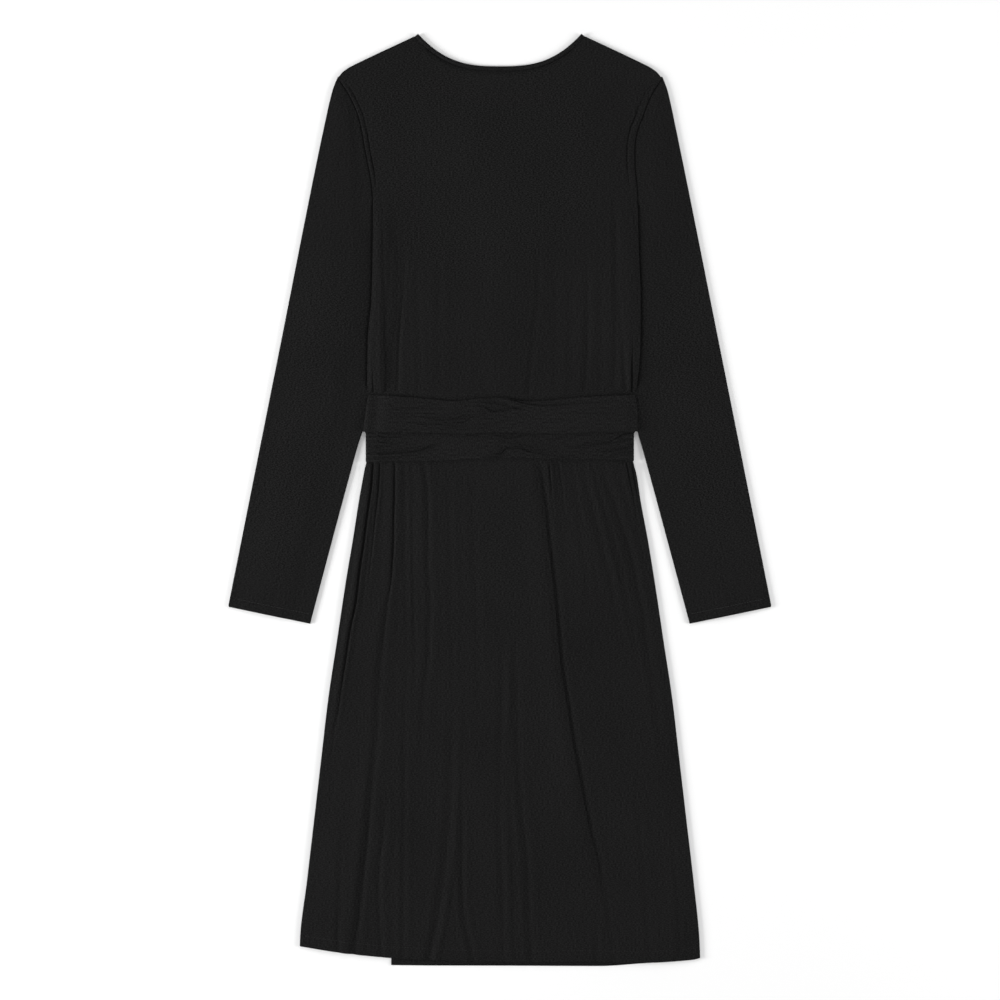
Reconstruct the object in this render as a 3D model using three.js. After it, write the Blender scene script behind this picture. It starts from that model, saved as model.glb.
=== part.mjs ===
// Wrap dress in thin black jersey, lying flat on its front with its back up and its belt tied on.
// Millimetres. +Z is up, +Y runs from the hem to the neck, +X is to the right as the back is seen.
// The origin is the middle of the dress's length and width, on the surface that it lies on.
//
// From the surface up the layers are: the belt's front stretch, the front that wraps over, the front
// that wraps under, the back, and the two stretches of belt across the back. The sleeves lie beside
// them, folded flat, with their inner edges turned in under the bodice between belt and underarm.

import * as THREE from "three";

// Thickness of one layer, clearance between two pieces, and what one layer lifts the next one by
const WALL = 1.3;
const GAP = 0.3;
const STEP = WALL + GAP;
// Clearance between a sleeve and the edge of the dress that it lies beside
const BESIDE = 0.5;

// Waist seam, hidden under the belt, and the height above which the columns of the bodice fan out
const WAIST_Y = 77;
const CHEST_Y = 400;
// How far above that height the layers have come down onto each other
const SHOULDER_FALL = 50;
// Height below which the rows of the skirt bend to its hem
const CALF_Y = -440;

// Outer edges of the dress from hem to shoulder end: height, then x at the left and the right
const EDGES = [
  { y: -512, left: -220, right: 220.5 },
  { y: -484, left: -219.5, right: 219.5 },
  { y: -418, left: -211.8, right: 212.9 },
  { y: -352, left: -204.1, right: 205.2 },
  { y: -286, left: -196.4, right: 197.5 },
  { y: -220, left: -188.7, right: 189.8 },
  { y: -154, left: -178.8, right: 179.9 },
  { y: -88, left: -168.9, right: 170 },
  { y: -44, left: -161.5, right: 162.8 },
  { y: 0, left: -154.6, right: 154.6 },
  { y: 28, left: -149.2, right: 150.2 },
  { y: 35, left: -147, right: 147.8 },
  { y: 41, left: -144.2, right: 144.2 },
  { y: 75, left: -143.8, right: 144 },
  { y: 116, left: -141.3, right: 144.9 },
  { y: 121, left: -144.8, right: 149.1 },
  { y: 175, left: -144.2, right: 153.7 },
  { y: 220, left: -140.3, right: 154 },
  { y: 275, left: -138.8, right: 152 },
  { y: 329, left: -138.4, right: 150.4 },
  { y: 350, left: -140.3, right: 149 },
  { y: 368, left: -143.4, right: 147 },
  { y: 387, left: -147.2, right: 147 },
  { y: 404, left: -150, right: 149.5 },
  { y: 421, left: -154, right: 155.8 },
  { y: 438, left: -161, right: 162 },
  { y: 449, left: -167.8, right: 169 },
  { y: 469, left: -172, right: 174 },
];

// Neck and shoulders, alike on both sides: the neck point, the back neck's dip and its steepness,
// the width of the neck's binding, and the slope of the shoulder
const NECK_X = 89.7;
const NECK_TOP_Y = 511.5;
const NECK_DIP = 35.7;
const NECK_POWER = 2.8;
const BINDING = 4.8;
const SHOULDER_INNER = { x: 93.6, y: 509 };
const SHOULDER_OUTER = { x: 172, y: 471 };
// Places along the neck, as shares of its half width, where its binding and the back have a corner
const NECK_SHARES = [-1, -0.88, -0.74, -0.57, -0.4, -0.2, 0, 0.2, 0.4, 0.57, 0.74, 0.88, 1];

// Free edges of the two fronts: height, then x of the edge that wraps over and of the one under it
const FREE_EDGES = [
  { y: -512, over: -119.4, under: 116 },
  { y: 0, over: -113, under: 113 },
  { y: 77, over: -110, under: 110 },
  { y: 200, over: -58, under: 58 },
  { y: 320, over: 0, under: 0 },
  { y: 430, over: 54, under: -54 },
  { y: 512, over: 92, under: -92 },
];

// Hems: x, then the height of the back's hem and of the two fronts' hems
const HEMS = [
  { x: -220, back: -489.5, over: -508, under: -487 },
  { x: -170, back: -497.2, over: -509, under: -494 },
  { x: -119, back: -502.4, over: -509.8, under: -498 },
  { x: -64, back: -505, over: -510.4, under: -500 },
  { x: 0, back: -507, over: -510.4, under: -501 },
  { x: 110, back: -506.5, over: -511.5, under: -501 },
  { x: 155, back: -507.6, over: -508.6, under: -500 },
  { x: 210, back: -504.4, over: -504.9, under: -498 },
  { x: 221, back: -496, over: -496, under: -495 },
];

// Folds of the back skirt, from the left: x of the crest below the belt, at the knee and at the hem,
// half the width of the fold at belt and hem, and its height at the same three places
const SKIRT_FOLDS = [
  { belt: -138.5, knee: -164, hem: -204, wide: 5, wideHem: 9, high: 3.4, highKnee: 3, highHem: 0.4 },
  { belt: -111, knee: -123, hem: -156, wide: 7, wideHem: 11, high: 2.8, highKnee: 2.2, highHem: 1.8 },
  { belt: -80, knee: -74, hem: -96, wide: 8, wideHem: 8, high: 1.4, highKnee: 1.4, highHem: 0.5 },
  { belt: -58, knee: -54, hem: -72, wide: 8, wideHem: 8, high: 0.3, highKnee: 0.9, highHem: 2 },
  { belt: -34, knee: -34, hem: -38, wide: 8, wideHem: 10, high: 0.3, highKnee: 0.8, highHem: 1.8 },
  { belt: -4, knee: 8, hem: 24, wide: 9, wideHem: 12, high: 0.3, highKnee: 1.2, highHem: 1.8 },
  { belt: 38, knee: 57, hem: 113, wide: 8, wideHem: 14, high: 3.6, highKnee: 3.8, highHem: 3 },
  { belt: 57, knee: 80, hem: 140, wide: 5, wideHem: 8, high: 2.2, highKnee: 0.6, highHem: 0.3 },
  { belt: 89, knee: 127, hem: 166, wide: 6, wideHem: 8, high: 2.2, highKnee: 1.6, highHem: 0.4 },
  { belt: 111, knee: 154, hem: 190, wide: 6, wideHem: 8, high: 2.6, highKnee: 2, highHem: 0.5 },
  { belt: 134, knee: 171, hem: 208, wide: 5, wideHem: 6, high: 2.4, highKnee: 0.8, highHem: 0.3 },
];
const KNEE_Y = -154;
// Folds of the skirt die away over BELT_HOLD just below the belt, and those of the bodice rise between
// the belt's upper edge and FOLD_FREE_Y
const BELT_EDGE_Y = 40;
const BELT_HOLD = 18;
const BELT_UPPER_EDGE_Y = 116;
const FOLD_FREE_Y = 132;

// Folds of the back bodice: x of the crest just above the belt and at its upper end, half its width,
// its height at the belt, and the height y at which it has died away
const BODICE_FOLDS = [
  { belt: -133, upper: -132, wide: 7, high: 1.7, end: 330 },
  { belt: -107, upper: -101, wide: 8, high: 2.2, end: 250 },
  { belt: -60, upper: -50, wide: 16, high: 0.7, end: 220 },
  { belt: 50, upper: 33, wide: 16, high: 0.8, end: 290 },
  { belt: 99, upper: 93, wide: 9, high: 1.2, end: 300 },
  { belt: 121, upper: 124, wide: 8, high: 1.3, end: 310 },
  { belt: 141, upper: 144, wide: 6, high: 1.6, end: 320 },
];

// Belt: two stretches across the back, the upper one lying over the lower one's top edge.
// x, then the upper stretch's top and bottom edges and the lower stretch's bottom edge
const BELT_EDGES = [
  { x: -151, top: 116.3, middle: 75, bottom: 41.6 },
  { x: -113, top: 114, middle: 74, bottom: 42.2 },
  { x: -79, top: 111.2, middle: 73.8, bottom: 42.7 },
  { x: -50, top: 108.5, middle: 73, bottom: 43.8 },
  { x: -36, top: 110.2, middle: 72.3, bottom: 44.4 },
  { x: 0, top: 113, middle: 74, bottom: 45.6 },
  { x: 27, top: 108.5, middle: 73.6, bottom: 46 },
  { x: 47, top: 108.9, middle: 73, bottom: 44.9 },
  { x: 72, top: 111.3, middle: 72.4, bottom: 44.1 },
  { x: 105, top: 114, middle: 74.6, bottom: 45 },
  { x: 152, top: 115.6, middle: 75.2, bottom: 42.8 },
];
const BELT_HIDDEN_TOP_Y = 84;
// The front stretch's edges, its rows between them, and where its ends pass from one stretch's to
// the other's
const BELT_FRONT = { bottom: 43, top: 113.5 };
const BELT_FRONT_ROWS = [56, 68, 72, 76, 86, 98, 106];
const BELT_FRONT_JOIN = { from: 68, to: 76 };
// Outermost x of the upper stretch, which spreads towards its lower edge, and of the lower one
const BELT_ENDS = [
  { y: 41, left: -146.3, right: 146 },
  { y: 72, left: -146.3, right: 146 },
];
const BELT_UPPER_ENDS = [
  { y: 72, left: -150.8, right: 151.4 },
  { y: 92, left: -147.8, right: 151.1 },
  { y: 104, left: -146.3, right: 150.5 },
  { y: 111, left: -145, right: 149.1 },
  { y: 117, left: -143.5, right: 147.4 },
];
// How the belt turns down at the sides of the dress: the turn's width, and where it starts to turn
const BELT_TURN = 8;
const BELT_TURN_Z = 3.8;
// Half the distance between the turns, where the height of each end is read off, and how far above
// the lower stretch's hidden edge the upper one comes down from it
const BELT_HALF_LENGTH = 145;
const BELT_FALL = { starts: 2, ends: 14 };
// Columns of a stretch between its turns, its rows as shares of its width, and its turns' stations
const BELT_COLUMNS = 24;
const BELT_SHARES = [0, 0.12, 0.26, 0.4, 0.54, 0.68, 0.82, 1];
const BELT_RISES = [0, 0.5, 1];
const BELT_TURN_SHARES = [0.15, 0.35, 0.55, 0.75, 1];
// Half the width of a wrinkle, as a share of the stretch's width
const WRINKLE_WIDE = 0.22;
// Soft wrinkles along the belt: start and end x, how far up the stretch at each end, and height
const UPPER_WRINKLES = [
  { from: -70, to: 110, start: 0.55, finish: 0.85, high: 1.1 },
  { from: -20, to: 60, start: 0.3, finish: 0.5, high: 0.8 },
  { from: -140, to: -50, start: 0.3, finish: 0.45, high: 0.6 },
];
const LOWER_WRINKLES = [
  { from: -142, to: -55, start: 0.2, finish: 0.5, high: 1 },
  { from: -40, to: 60, start: 0.6, finish: 0.35, high: 0.9 },
  { from: 55, to: 142, start: 0.3, finish: 0.65, high: 1 },
];

// Sleeves. Outer edge from the shoulder to the cuff, then the inner edge from the belt to the cuff
const SLEEVE_OUTER = [
  { y: -115.5, left: -298.3, right: 298.3 },
  { y: 156.7, left: -243.9, right: 243.9 },
  { y: 429, left: -188.7, right: 188.7 },
  { y: 445.5, left: -185.4, right: 185.6 },
  { y: 456.5, left: -182, right: 182.2 },
  { y: 470, left: -174.6, right: 176.8 },
];
const SLEEVE_INNER = [
  { y: -135, left: -208.2, right: 208.6 },
  { y: -33, left: -181.2, right: 181.2 },
  { y: 27.5, left: -164.9, right: 164.9 },
  { y: 60, left: -156, right: 156 },
  { y: 74.8, left: -151.3, right: 152.1 },
  { y: 92.4, left: -148.4, right: 151.8 },
  { y: 104.5, left: -146.9, right: 151.4 },
  { y: 111, left: -145.8, right: 150 },
  { y: 118, left: -144.1, right: 148.2 },
];
const SLEEVE_BELT_Y = 118;
const CUFF_INNER_Y = -135;
const CUFF_RISE = 18.6;
const SLEEVE_TOP_Y = 467.5;
// How far the sleeve's inner edge is turned in under the bodice, and between which heights
const TUCK = { deep: 16, starts: 134, full: 185, eases: 265, ends: 318 };
// Heights between which the dress climbs onto and off the belt's front stretch, and onto and off the
// sleeve, and how far inside the tucked edge it comes down again
const ON_BELT = { starts: 30, full: 41, eases: 117, ends: 128 };
const ON_SLEEVE = { starts: 116, full: 132, eases: 320, ends: 336 };
const INSIDE_TUCK = { starts: 6, ends: 16.5 };
// Swell of a sleeve's upper layer, and the heights between which its outer edge turns up to the shoulder
const SLEEVE_CROWN = 1.8;
const SLEEVE_RISE_Y = 330;
// Corners across a sleeve's upper and lower layer, as shares of its width, and where the swell lies
const SLEEVE_TOP_SHARES = [0, 0.06, 0.15, 0.24, 0.36, 0.5, 0.68, 0.86, 1];
const SLEEVE_UNDER_SHARES = [1, 0.5, 0.15, 0];
const SWELL = { starts: 0.22, full: 0.45, eases: 0.6 };
// Rows of a sleeve under the bodice, and from the belt to the cuff
const TUCKED_ROWS = [320, 300, 275, 245, 215, 185, 162, 145, 132, 126, 121];
const FREE_ROWS = [111, 104, 75, 20, -50, -110];

// Distances from a side edge of the columns nearest to it
const SIDE_STEPS = [0, 3, 7, 12, 18, 25, 33];
// Width over which a layer comes down to the layer below it at a side edge
const SIDE_FALL = 24;

const CLOTH = { color: 0x1d1d1f, roughness: 0.85, metalness: 0 };

const lerp = THREE.MathUtils.lerp;
const clamp = THREE.MathUtils.clamp;

// Straight ramp from 0 at a to 1 at b
function ramp(a, b, value) {
  return clamp((value - a) / (b - a), 0, 1);
}

// Smooth ramp from 0 at a to 1 at b
function smoothRamp(a, b, value) {
  const t = ramp(a, b, value);
  return t * t * (3 - 2 * t);
}

// Curve through one named column of a table, by Hermite pieces that never overshoot the rows
function curve(rows, by, column) {
  const slope = rows.map((row, i) => {
    if (i === 0 || i === rows.length - 1) return 0;
    const before = (row[column] - rows[i - 1][column]) / (row[by] - rows[i - 1][by]);
    const after = (rows[i + 1][column] - row[column]) / (rows[i + 1][by] - row[by]);
    return before * after > 0 ? (2 * before * after) / (before + after) : 0;
  });
  const last = rows.length - 1;
  slope[0] = (rows[1][column] - rows[0][column]) / (rows[1][by] - rows[0][by]);
  slope[last] = (rows[last][column] - rows[last - 1][column]) / (rows[last][by] - rows[last - 1][by]);
  return (at) => {
    if (at <= rows[0][by]) return rows[0][column];
    if (at >= rows[last][by]) return rows[last][column];
    const i = rows.findIndex((row) => row[by] > at) - 1;
    const span = rows[i + 1][by] - rows[i][by];
    const t = (at - rows[i][by]) / span;
    const h00 = (1 + 2 * t) * (1 - t) * (1 - t);
    const h10 = t * (1 - t) * (1 - t);
    const h01 = t * t * (3 - 2 * t);
    const h11 = t * t * (t - 1);
    const value = h00 * rows[i][column] + h01 * rows[i + 1][column];
    return value + span * (h10 * slope[i] + h11 * slope[i + 1]);
  };
}

const leftEdge = curve(EDGES, "y", "left");
const rightEdge = curve(EDGES, "y", "right");
const overEdge = curve(FREE_EDGES, "y", "over");
const underEdge = curve(FREE_EDGES, "y", "under");
const backHem = curve(HEMS, "x", "back");
const overHem = curve(HEMS, "x", "over");
const underHem = curve(HEMS, "x", "under");

// Height of the back neck's edge at x, and of the shoulder seam at x
function neckY(x) {
  return NECK_TOP_Y - NECK_DIP + NECK_DIP * (Math.abs(x) / NECK_X) ** NECK_POWER;
}

function shoulderY(x) {
  const t = (Math.abs(x) - SHOULDER_INNER.x) / (SHOULDER_OUTER.x - SHOULDER_INNER.x);
  return lerp(SHOULDER_INNER.y, SHOULDER_OUTER.y, t);
}

// Inward unit normal of the back neck's edge at x
function neckNormal(x) {
  const steepest = (NECK_POWER * NECK_DIP) / NECK_X;
  const slope = Math.sign(x) * steepest * (Math.abs(x) / NECK_X) ** (NECK_POWER - 1);
  const length = Math.hypot(1, slope);
  return { x: slope / length, y: -1 / length };
}

// Distance of a point from the nearer side edge
function sideDistance(x, y) {
  return Math.min(x - leftEdge(y), rightEdge(y) - x);
}

// How much a front lying between the surface and a layer lifts it: all of it inside, none at the sides
function lift(x, y) {
  const below = 1 - smoothRamp(CHEST_Y, CHEST_Y + SHOULDER_FALL, y);
  return ramp(0, SIDE_FALL, sideDistance(x, y)) * below;
}

// How far the sleeve is turned in under the bodice at height y
function tuckAt(y) {
  const inward = smoothRamp(TUCK.starts, TUCK.full, y) * (1 - smoothRamp(TUCK.eases, TUCK.ends, y));
  return (TUCK.deep + BESIDE) * inward;
}

// Height of what the fronts lie on: the belt's front stretch, and the two layers of a tucked sleeve
function groundZ(x, y) {
  const climb = (span) => ramp(span.starts, span.full, y) * (1 - ramp(span.eases, span.ends, y));
  const inside = sideDistance(x, y) - tuckAt(y);
  const onSleeve = climb(ON_SLEEVE) * (1 - ramp(INSIDE_TUCK.starts, INSIDE_TUCK.ends, inside));
  return STEP * Math.max(climb(ON_BELT), 2 * onSleeve);
}

// A closed sheet of cloth between two grids of points with the same rows and columns
function sheet(name, upper, lower) {
  const rows = upper.length;
  const columns = upper[0].length;
  const points = [...upper.flat(), ...lower.flat()];
  const top = (i, j) => i * columns + j;
  const under = (i, j) => rows * columns + i * columns + j;
  const faces = [];
  const quad = (a, b, c, d) => faces.push(a, b, c, a, c, d);
  for (let i = 0; i + 1 < rows; i += 1) {
    for (let j = 0; j + 1 < columns; j += 1) {
      quad(top(i, j), top(i, j + 1), top(i + 1, j + 1), top(i + 1, j));
      quad(under(i, j), under(i + 1, j), under(i + 1, j + 1), under(i, j + 1));
    }
    quad(top(i, 0), top(i + 1, 0), under(i + 1, 0), under(i, 0));
    quad(top(i, columns - 1), under(i, columns - 1), under(i + 1, columns - 1), top(i + 1, columns - 1));
  }
  for (let j = 0; j + 1 < columns; j += 1) {
    quad(top(0, j), under(0, j), under(0, j + 1), top(0, j + 1));
    quad(top(rows - 1, j), top(rows - 1, j + 1), under(rows - 1, j + 1), under(rows - 1, j));
  }
  const geometry = new THREE.BufferGeometry();
  const numbers = points.flatMap((p) => [p.x, p.y, p.z]);
  geometry.setAttribute("position", new THREE.Float32BufferAttribute(numbers, 3));
  geometry.setIndex(faces);
  geometry.computeVertexNormals();
  const mesh = new THREE.Mesh(geometry, new THREE.MeshStandardMaterial(CLOTH));
  mesh.name = name;
  return mesh;
}

// A panel that lies on what is below it. Each column gives its x at height y and its two ends, rows
// gives the y of every row on a column, and underside gives the height of the panel's lower face.
function panel(name, columns, rows, underside) {
  const lower = [];
  const upper = [];
  const counts = rows(columns[0]).length;
  for (let i = 0; i < counts; i += 1) {
    const points = columns.map((column) => {
      const y = rows(column)[i];
      const x = column.x(y);
      return new THREE.Vector3(x, y, underside(x, y));
    });
    lower.push(points);
    upper.push(points.map((p) => p.clone().setZ(p.z + WALL)));
  }
  return sheet(name, upper, lower);
}

// Heights of a skirt's rows on one column, from its own hem to the waist
const SKIRT_ROWS = [-390, -330, -264, -200, KNEE_Y, -110, -70, -36, -8, 12, 22, 30, 35.5, 41, 60];
function skirtRows(column) {
  const hem = [0, 0.5].map((t) => lerp(column.end, CALF_Y, t));
  return [...hem, CALF_Y, ...SKIRT_ROWS, WAIST_Y - GAP / 2];
}

// Heights of a bodice's rows on one column, from the waist to its own top
const BODICE_ROWS = [104, 116, 120, 124, 128, 132, 145, 162, 185, 215, 245, 275, 300, 320];
const ARMHOLE_ROWS = [336, 355, 375, CHEST_Y];
const FAN_SHARES = [0.25, 0.5, 0.75, 1];
function bodiceRows(column) {
  const fan = FAN_SHARES.map((t) => lerp(CHEST_Y, column.end, t));
  return [WAIST_Y + GAP / 2, ...BODICE_ROWS, ...ARMHOLE_ROWS, ...fan];
}

// Columns at fixed distances from the left and the right edge, ordered from the left
const leftColumns = SIDE_STEPS.map((distance) => (y) => leftEdge(y) + distance);
const rightColumns = SIDE_STEPS.map((distance) => (y) => rightEdge(y) - distance).reverse();

// Evenly spaced columns strictly between two others
function between(first, second, count) {
  const shares = Array.from({ length: count }, (_, k) => (k + 1) / (count + 1));
  return shares.map((share) => (y) => lerp(first(y), second(y), share));
}

// Gives each column its end: the hem of a skirt or the top of a bodice, at the x that it has there
function withEnds(lines, endHeight, near) {
  return lines.map((x) => ({ x, end: endHeight(x(near)) }));
}

// Top edge of a bodice panel on its shoulder seam
function shoulderTop(x) {
  return shoulderY(clamp(Math.abs(x), SHOULDER_INNER.x, SHOULDER_OUTER.x));
}

// Height of the back skirt's folds above the layers under it
const foldLines = SKIRT_FOLDS.map((fold) => {
  const stations = [
    { y: -512, x: fold.hem, high: fold.highHem, wide: fold.wideHem },
    { y: KNEE_Y, x: fold.knee, high: fold.highKnee, wide: (fold.wide + fold.wideHem) / 2 },
    { y: BELT_EDGE_Y, x: fold.belt, high: fold.high, wide: fold.wide },
  ];
  const line = (column) => curve(stations, "y", column);
  return { x: line("x"), high: line("high"), wide: line("wide") };
});

function skirtFoldZ(x, y) {
  const belowBelt = 1 - smoothRamp(BELT_EDGE_Y - BELT_HOLD, BELT_EDGE_Y, y);
  const heights = foldLines.map((fold) => {
    const away = Math.abs(x - fold.x(y));
    return fold.high(y) * (1 - ramp(0, fold.wide(y), away));
  });
  return belowBelt * Math.max(...heights);
}

function bodiceFoldZ(x, y) {
  const aboveBelt = smoothRamp(BELT_UPPER_EDGE_Y, FOLD_FREE_Y, y);
  const heights = BODICE_FOLDS.map((fold) => {
    const up = ramp(BELT_UPPER_EDGE_Y, fold.end, y);
    const away = Math.abs(x - lerp(fold.belt, fold.upper, up));
    return fold.high * (1 - smoothRamp(0, 1, up)) * (1 - smoothRamp(0, fold.wide, away));
  });
  return aboveBelt * heights.reduce((sum, height) => sum + height, 0);
}

// Back skirt: its columns run along the folds, each with a foot on either side of its crest
function makeBackSkirt() {
  const lines = [leftEdge];
  for (const fold of foldLines) {
    const foot = (side) => (y) => fold.x(y) + side * fold.wide(y);
    lines.push(...between(lines.at(-1), foot(-1), 1), foot(-1), fold.x, foot(1));
  }
  lines.push(...between(lines.at(-1), rightEdge, 1), rightEdge);
  const columns = withEnds(lines, backHem, CALF_Y);
  return panel("back_skirt", columns, skirtRows, (x, y) => {
    return groundZ(x, y) + STEP * (1 + lift(x, y)) + skirtFoldZ(x, y);
  });
}

// Back bodice: side columns, and upright ones that end at the lower edge of the neck's binding
function makeBackBodice() {
  const middle = NECK_SHARES.map((share) => {
    const foot = share * NECK_X;
    const inward = neckNormal(foot);
    const x = foot + inward.x * (BINDING + GAP);
    return { x: () => x, end: neckY(foot) + inward.y * (BINDING + GAP) };
  });
  const sides = [leftColumns, rightColumns].map((lines) => withEnds(lines, shoulderTop, SHOULDER_INNER.y));
  const columns = [...sides[0], ...middle, ...sides[1]];
  return panel("back_bodice", columns, bodiceRows, (x, y) => {
    return groundZ(x, y) + STEP * (1 + lift(x, y)) + bodiceFoldZ(x, y);
  });
}

// Fronts. The one that wraps over hangs from the right side and lies lowest; the one that wraps
// under hangs from the left side and lies on it. On the bodice each leaves room for its binding.
const overFree = (y) => overEdge(y) + (y > WAIST_Y ? BINDING + GAP : 0);
const underFree = (y) => underEdge(y) - (y > WAIST_Y ? BINDING + GAP : 0);
const onGround = (x, y) => groundZ(x, y);
const onFirstFront = (x, y) => groundZ(x, y) + STEP * lift(x, y);

function makeFronts() {
  const over = [overFree, ...between(overFree, rightColumns[0], 4), ...rightColumns];
  const under = [...leftColumns, ...between(leftColumns.at(-1), underFree, 4), underFree];
  const overBinding = [overEdge, (y) => overEdge(y) + BINDING];
  const underBinding = [(y) => underEdge(y) - BINDING, underEdge];
  const neckEnd = SHOULDER_INNER.y;
  return [
    panel("front_skirt_over", withEnds(over, overHem, CALF_Y), skirtRows, onGround),
    panel("front_skirt_under", withEnds(under, underHem, CALF_Y), skirtRows, onFirstFront),
    panel("front_bodice_over", withEnds(over, shoulderTop, neckEnd), bodiceRows, onGround),
    panel("front_bodice_under", withEnds(under, shoulderTop, neckEnd), bodiceRows, onFirstFront),
    panel("neck_binding_over", withEnds(overBinding, shoulderTop, neckEnd), bodiceRows, onGround),
    panel("neck_binding_under", withEnds(underBinding, shoulderTop, neckEnd), bodiceRows, onFirstFront),
  ];
}

// Binding of the back neck: a strip of constant width along the neck's edge
function makeNeckBinding() {
  const strip = (depth, z) =>
    NECK_SHARES.map((share) => {
      const x = share * NECK_X;
      const inward = neckNormal(x);
      return new THREE.Vector3(x + inward.x * depth, neckY(x) + inward.y * depth, z);
    });
  const upper = [strip(BINDING, STEP + WALL), strip(0, STEP + WALL)];
  const lower = [strip(BINDING, STEP), strip(0, STEP)];
  return sheet("neck_binding_back", upper, lower);
}

// A line of points moved out sideways in the upright plane that holds the level direction across
function offsetLine(line, across, distance) {
  return line.map((point, k) => {
    const along = line[Math.min(k + 1, line.length - 1)].clone().sub(line[Math.max(k - 1, 0)]);
    const away = across.clone().multiplyScalar(-along.z).setZ(along.dot(across));
    return point.clone().addScaledVector(away.normalize(), distance);
  });
}

// A sleeve is one piece folded along its outer edge. Its section runs from the seam over the top
// layer, round the fold and back under it, and the two seam edges lie one above the other.
function sleeveSection(inner, outer, crown) {
  const radius = STEP / 2;
  const middleZ = radius + WALL / 2;
  const reach = new THREE.Vector3().subVectors(outer, inner);
  const width = reach.length();
  const across = reach.normalize();
  const straight = width - radius - WALL / 2;
  const at = (distance, z) => inner.clone().addScaledVector(across, distance).setZ(z);
  const swell = (share) => {
    const rise = smoothRamp(SWELL.starts, SWELL.full, share);
    return crown * rise * (1 - smoothRamp(SWELL.eases, 1, share));
  };
  const topAt = (share) => at(straight * share, middleZ + radius + swell(share));
  const top = SLEEVE_TOP_SHARES.map(topAt);
  const turn = [1, 2, 3].map((k) => {
    const angle = Math.PI / 2 - (k * Math.PI) / 4;
    return at(straight + radius * Math.cos(angle), middleZ + radius * Math.sin(angle));
  });
  const bottom = SLEEVE_UNDER_SHARES.map((share) => at(straight * share, middleZ - radius));
  return { line: [...top, ...turn, ...bottom], across };
}

function makeSleeve(name, side, dressEdge) {
  const outward = side === "left" ? -1 : 1;
  const outerEdge = curve(SLEEVE_OUTER, "y", side);
  const lowerInner = curve(SLEEVE_INNER, "y", side);
  const innerEdge = (y) => {
    if (y < SLEEVE_BELT_Y) return lowerInner(y);
    return dressEdge(y) + outward * (BESIDE - tuckAt(y));
  };
  const fan = FAN_SHARES.map((t) => lerp(CHEST_Y, SHOULDER_OUTER.y, t));
  const seam = [...ARMHOLE_ROWS, ...fan].reverse();
  seam[0] = SLEEVE_TOP_Y;
  const rows = [...seam, ...TUCKED_ROWS, SLEEVE_BELT_Y, ...FREE_ROWS, CUFF_INNER_Y];
  const sections = rows.map((y) => {
    const outerY = y + CUFF_RISE * ramp(SLEEVE_TOP_Y, SLEEVE_RISE_Y, y);
    const inner = new THREE.Vector3(innerEdge(y), y, 0);
    const outer = new THREE.Vector3(outerEdge(outerY), outerY, 0);
    return sleeveSection(inner, outer, SLEEVE_CROWN * smoothRamp(SLEEVE_TOP_Y, CHEST_Y, y));
  });
  const ordered = side === "left" ? sections : sections.reverse();
  const outside = ordered.map((section) => offsetLine(section.line, section.across, WALL / 2));
  const inside = ordered.map((section) => offsetLine(section.line, section.across, -WALL / 2));
  return sheet(name, outside, inside);
}

// Height of the wrinkles on a stretch of belt, at x and a share of the way up the stretch
function wrinkleZ(wrinkles, x, share) {
  const heights = wrinkles.map((wrinkle) => {
    const along = (x - wrinkle.from) / (wrinkle.to - wrinkle.from);
    if (along <= 0 || along >= 1) return 0;
    const centre = lerp(wrinkle.start, wrinkle.finish, along);
    const away = Math.abs(share - centre);
    return wrinkle.high * Math.sin(Math.PI * along) * (1 - smoothRamp(0, WRINKLE_WIDE, away));
  });
  return Math.max(0, ...heights);
}

// A stretch of belt across the back. It lies on the dress at levelZ, turns down at both sides and
// stands just above the front stretch.
function makeBeltStretch(name, ends, topY, bottomY, levelZ, wrinkles, turn) {
  const endLeft = curve(ends, "y", "left");
  const endRight = curve(ends, "y", "right");
  const lines = BELT_SHARES.map((share) => {
    const heightAt = (x) => lerp(bottomY(x), topY(x), share);
    const left = endLeft(heightAt(-BELT_HALF_LENGTH)) + WALL / 2;
    const right = endRight(heightAt(BELT_HALF_LENGTH)) - WALL / 2;
    const flatZ = (x) => levelZ(heightAt(x)) + WALL / 2 + wrinkleZ(wrinkles, x, share);
    const end = (x, direction) => {
      const corner = x + direction * turn;
      const uprightAt = (t) => new THREE.Vector3(x, heightAt(x), lerp(STEP, BELT_TURN_Z, t));
      const round = BELT_TURN_SHARES.map((t) => {
        const angle = (t * Math.PI) / 2;
        const px = lerp(corner, x, Math.cos(angle));
        return new THREE.Vector3(px, heightAt(px), lerp(BELT_TURN_Z, flatZ(corner), Math.sin(angle)));
      });
      return [...BELT_RISES.map(uprightAt), ...round];
    };
    const leftEnd = end(left, 1);
    const rightEnd = end(right, -1).reverse();
    const from = leftEnd.at(-1).x;
    const to = rightEnd[0].x;
    const flat = Array.from({ length: BELT_COLUMNS - 1 }, (_, k) => {
      const x = lerp(from, to, (k + 1) / BELT_COLUMNS);
      return new THREE.Vector3(x, heightAt(x), flatZ(x));
    });
    return [...leftEnd, ...flat, ...rightEnd];
  });
  const rightwards = new THREE.Vector3(1, 0, 0);
  const upper = lines.map((line) => offsetLine(line, rightwards, WALL / 2));
  const lower = lines.map((line) => offsetLine(line, rightwards, -WALL / 2));
  return sheet(name, upper, lower);
}

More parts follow.
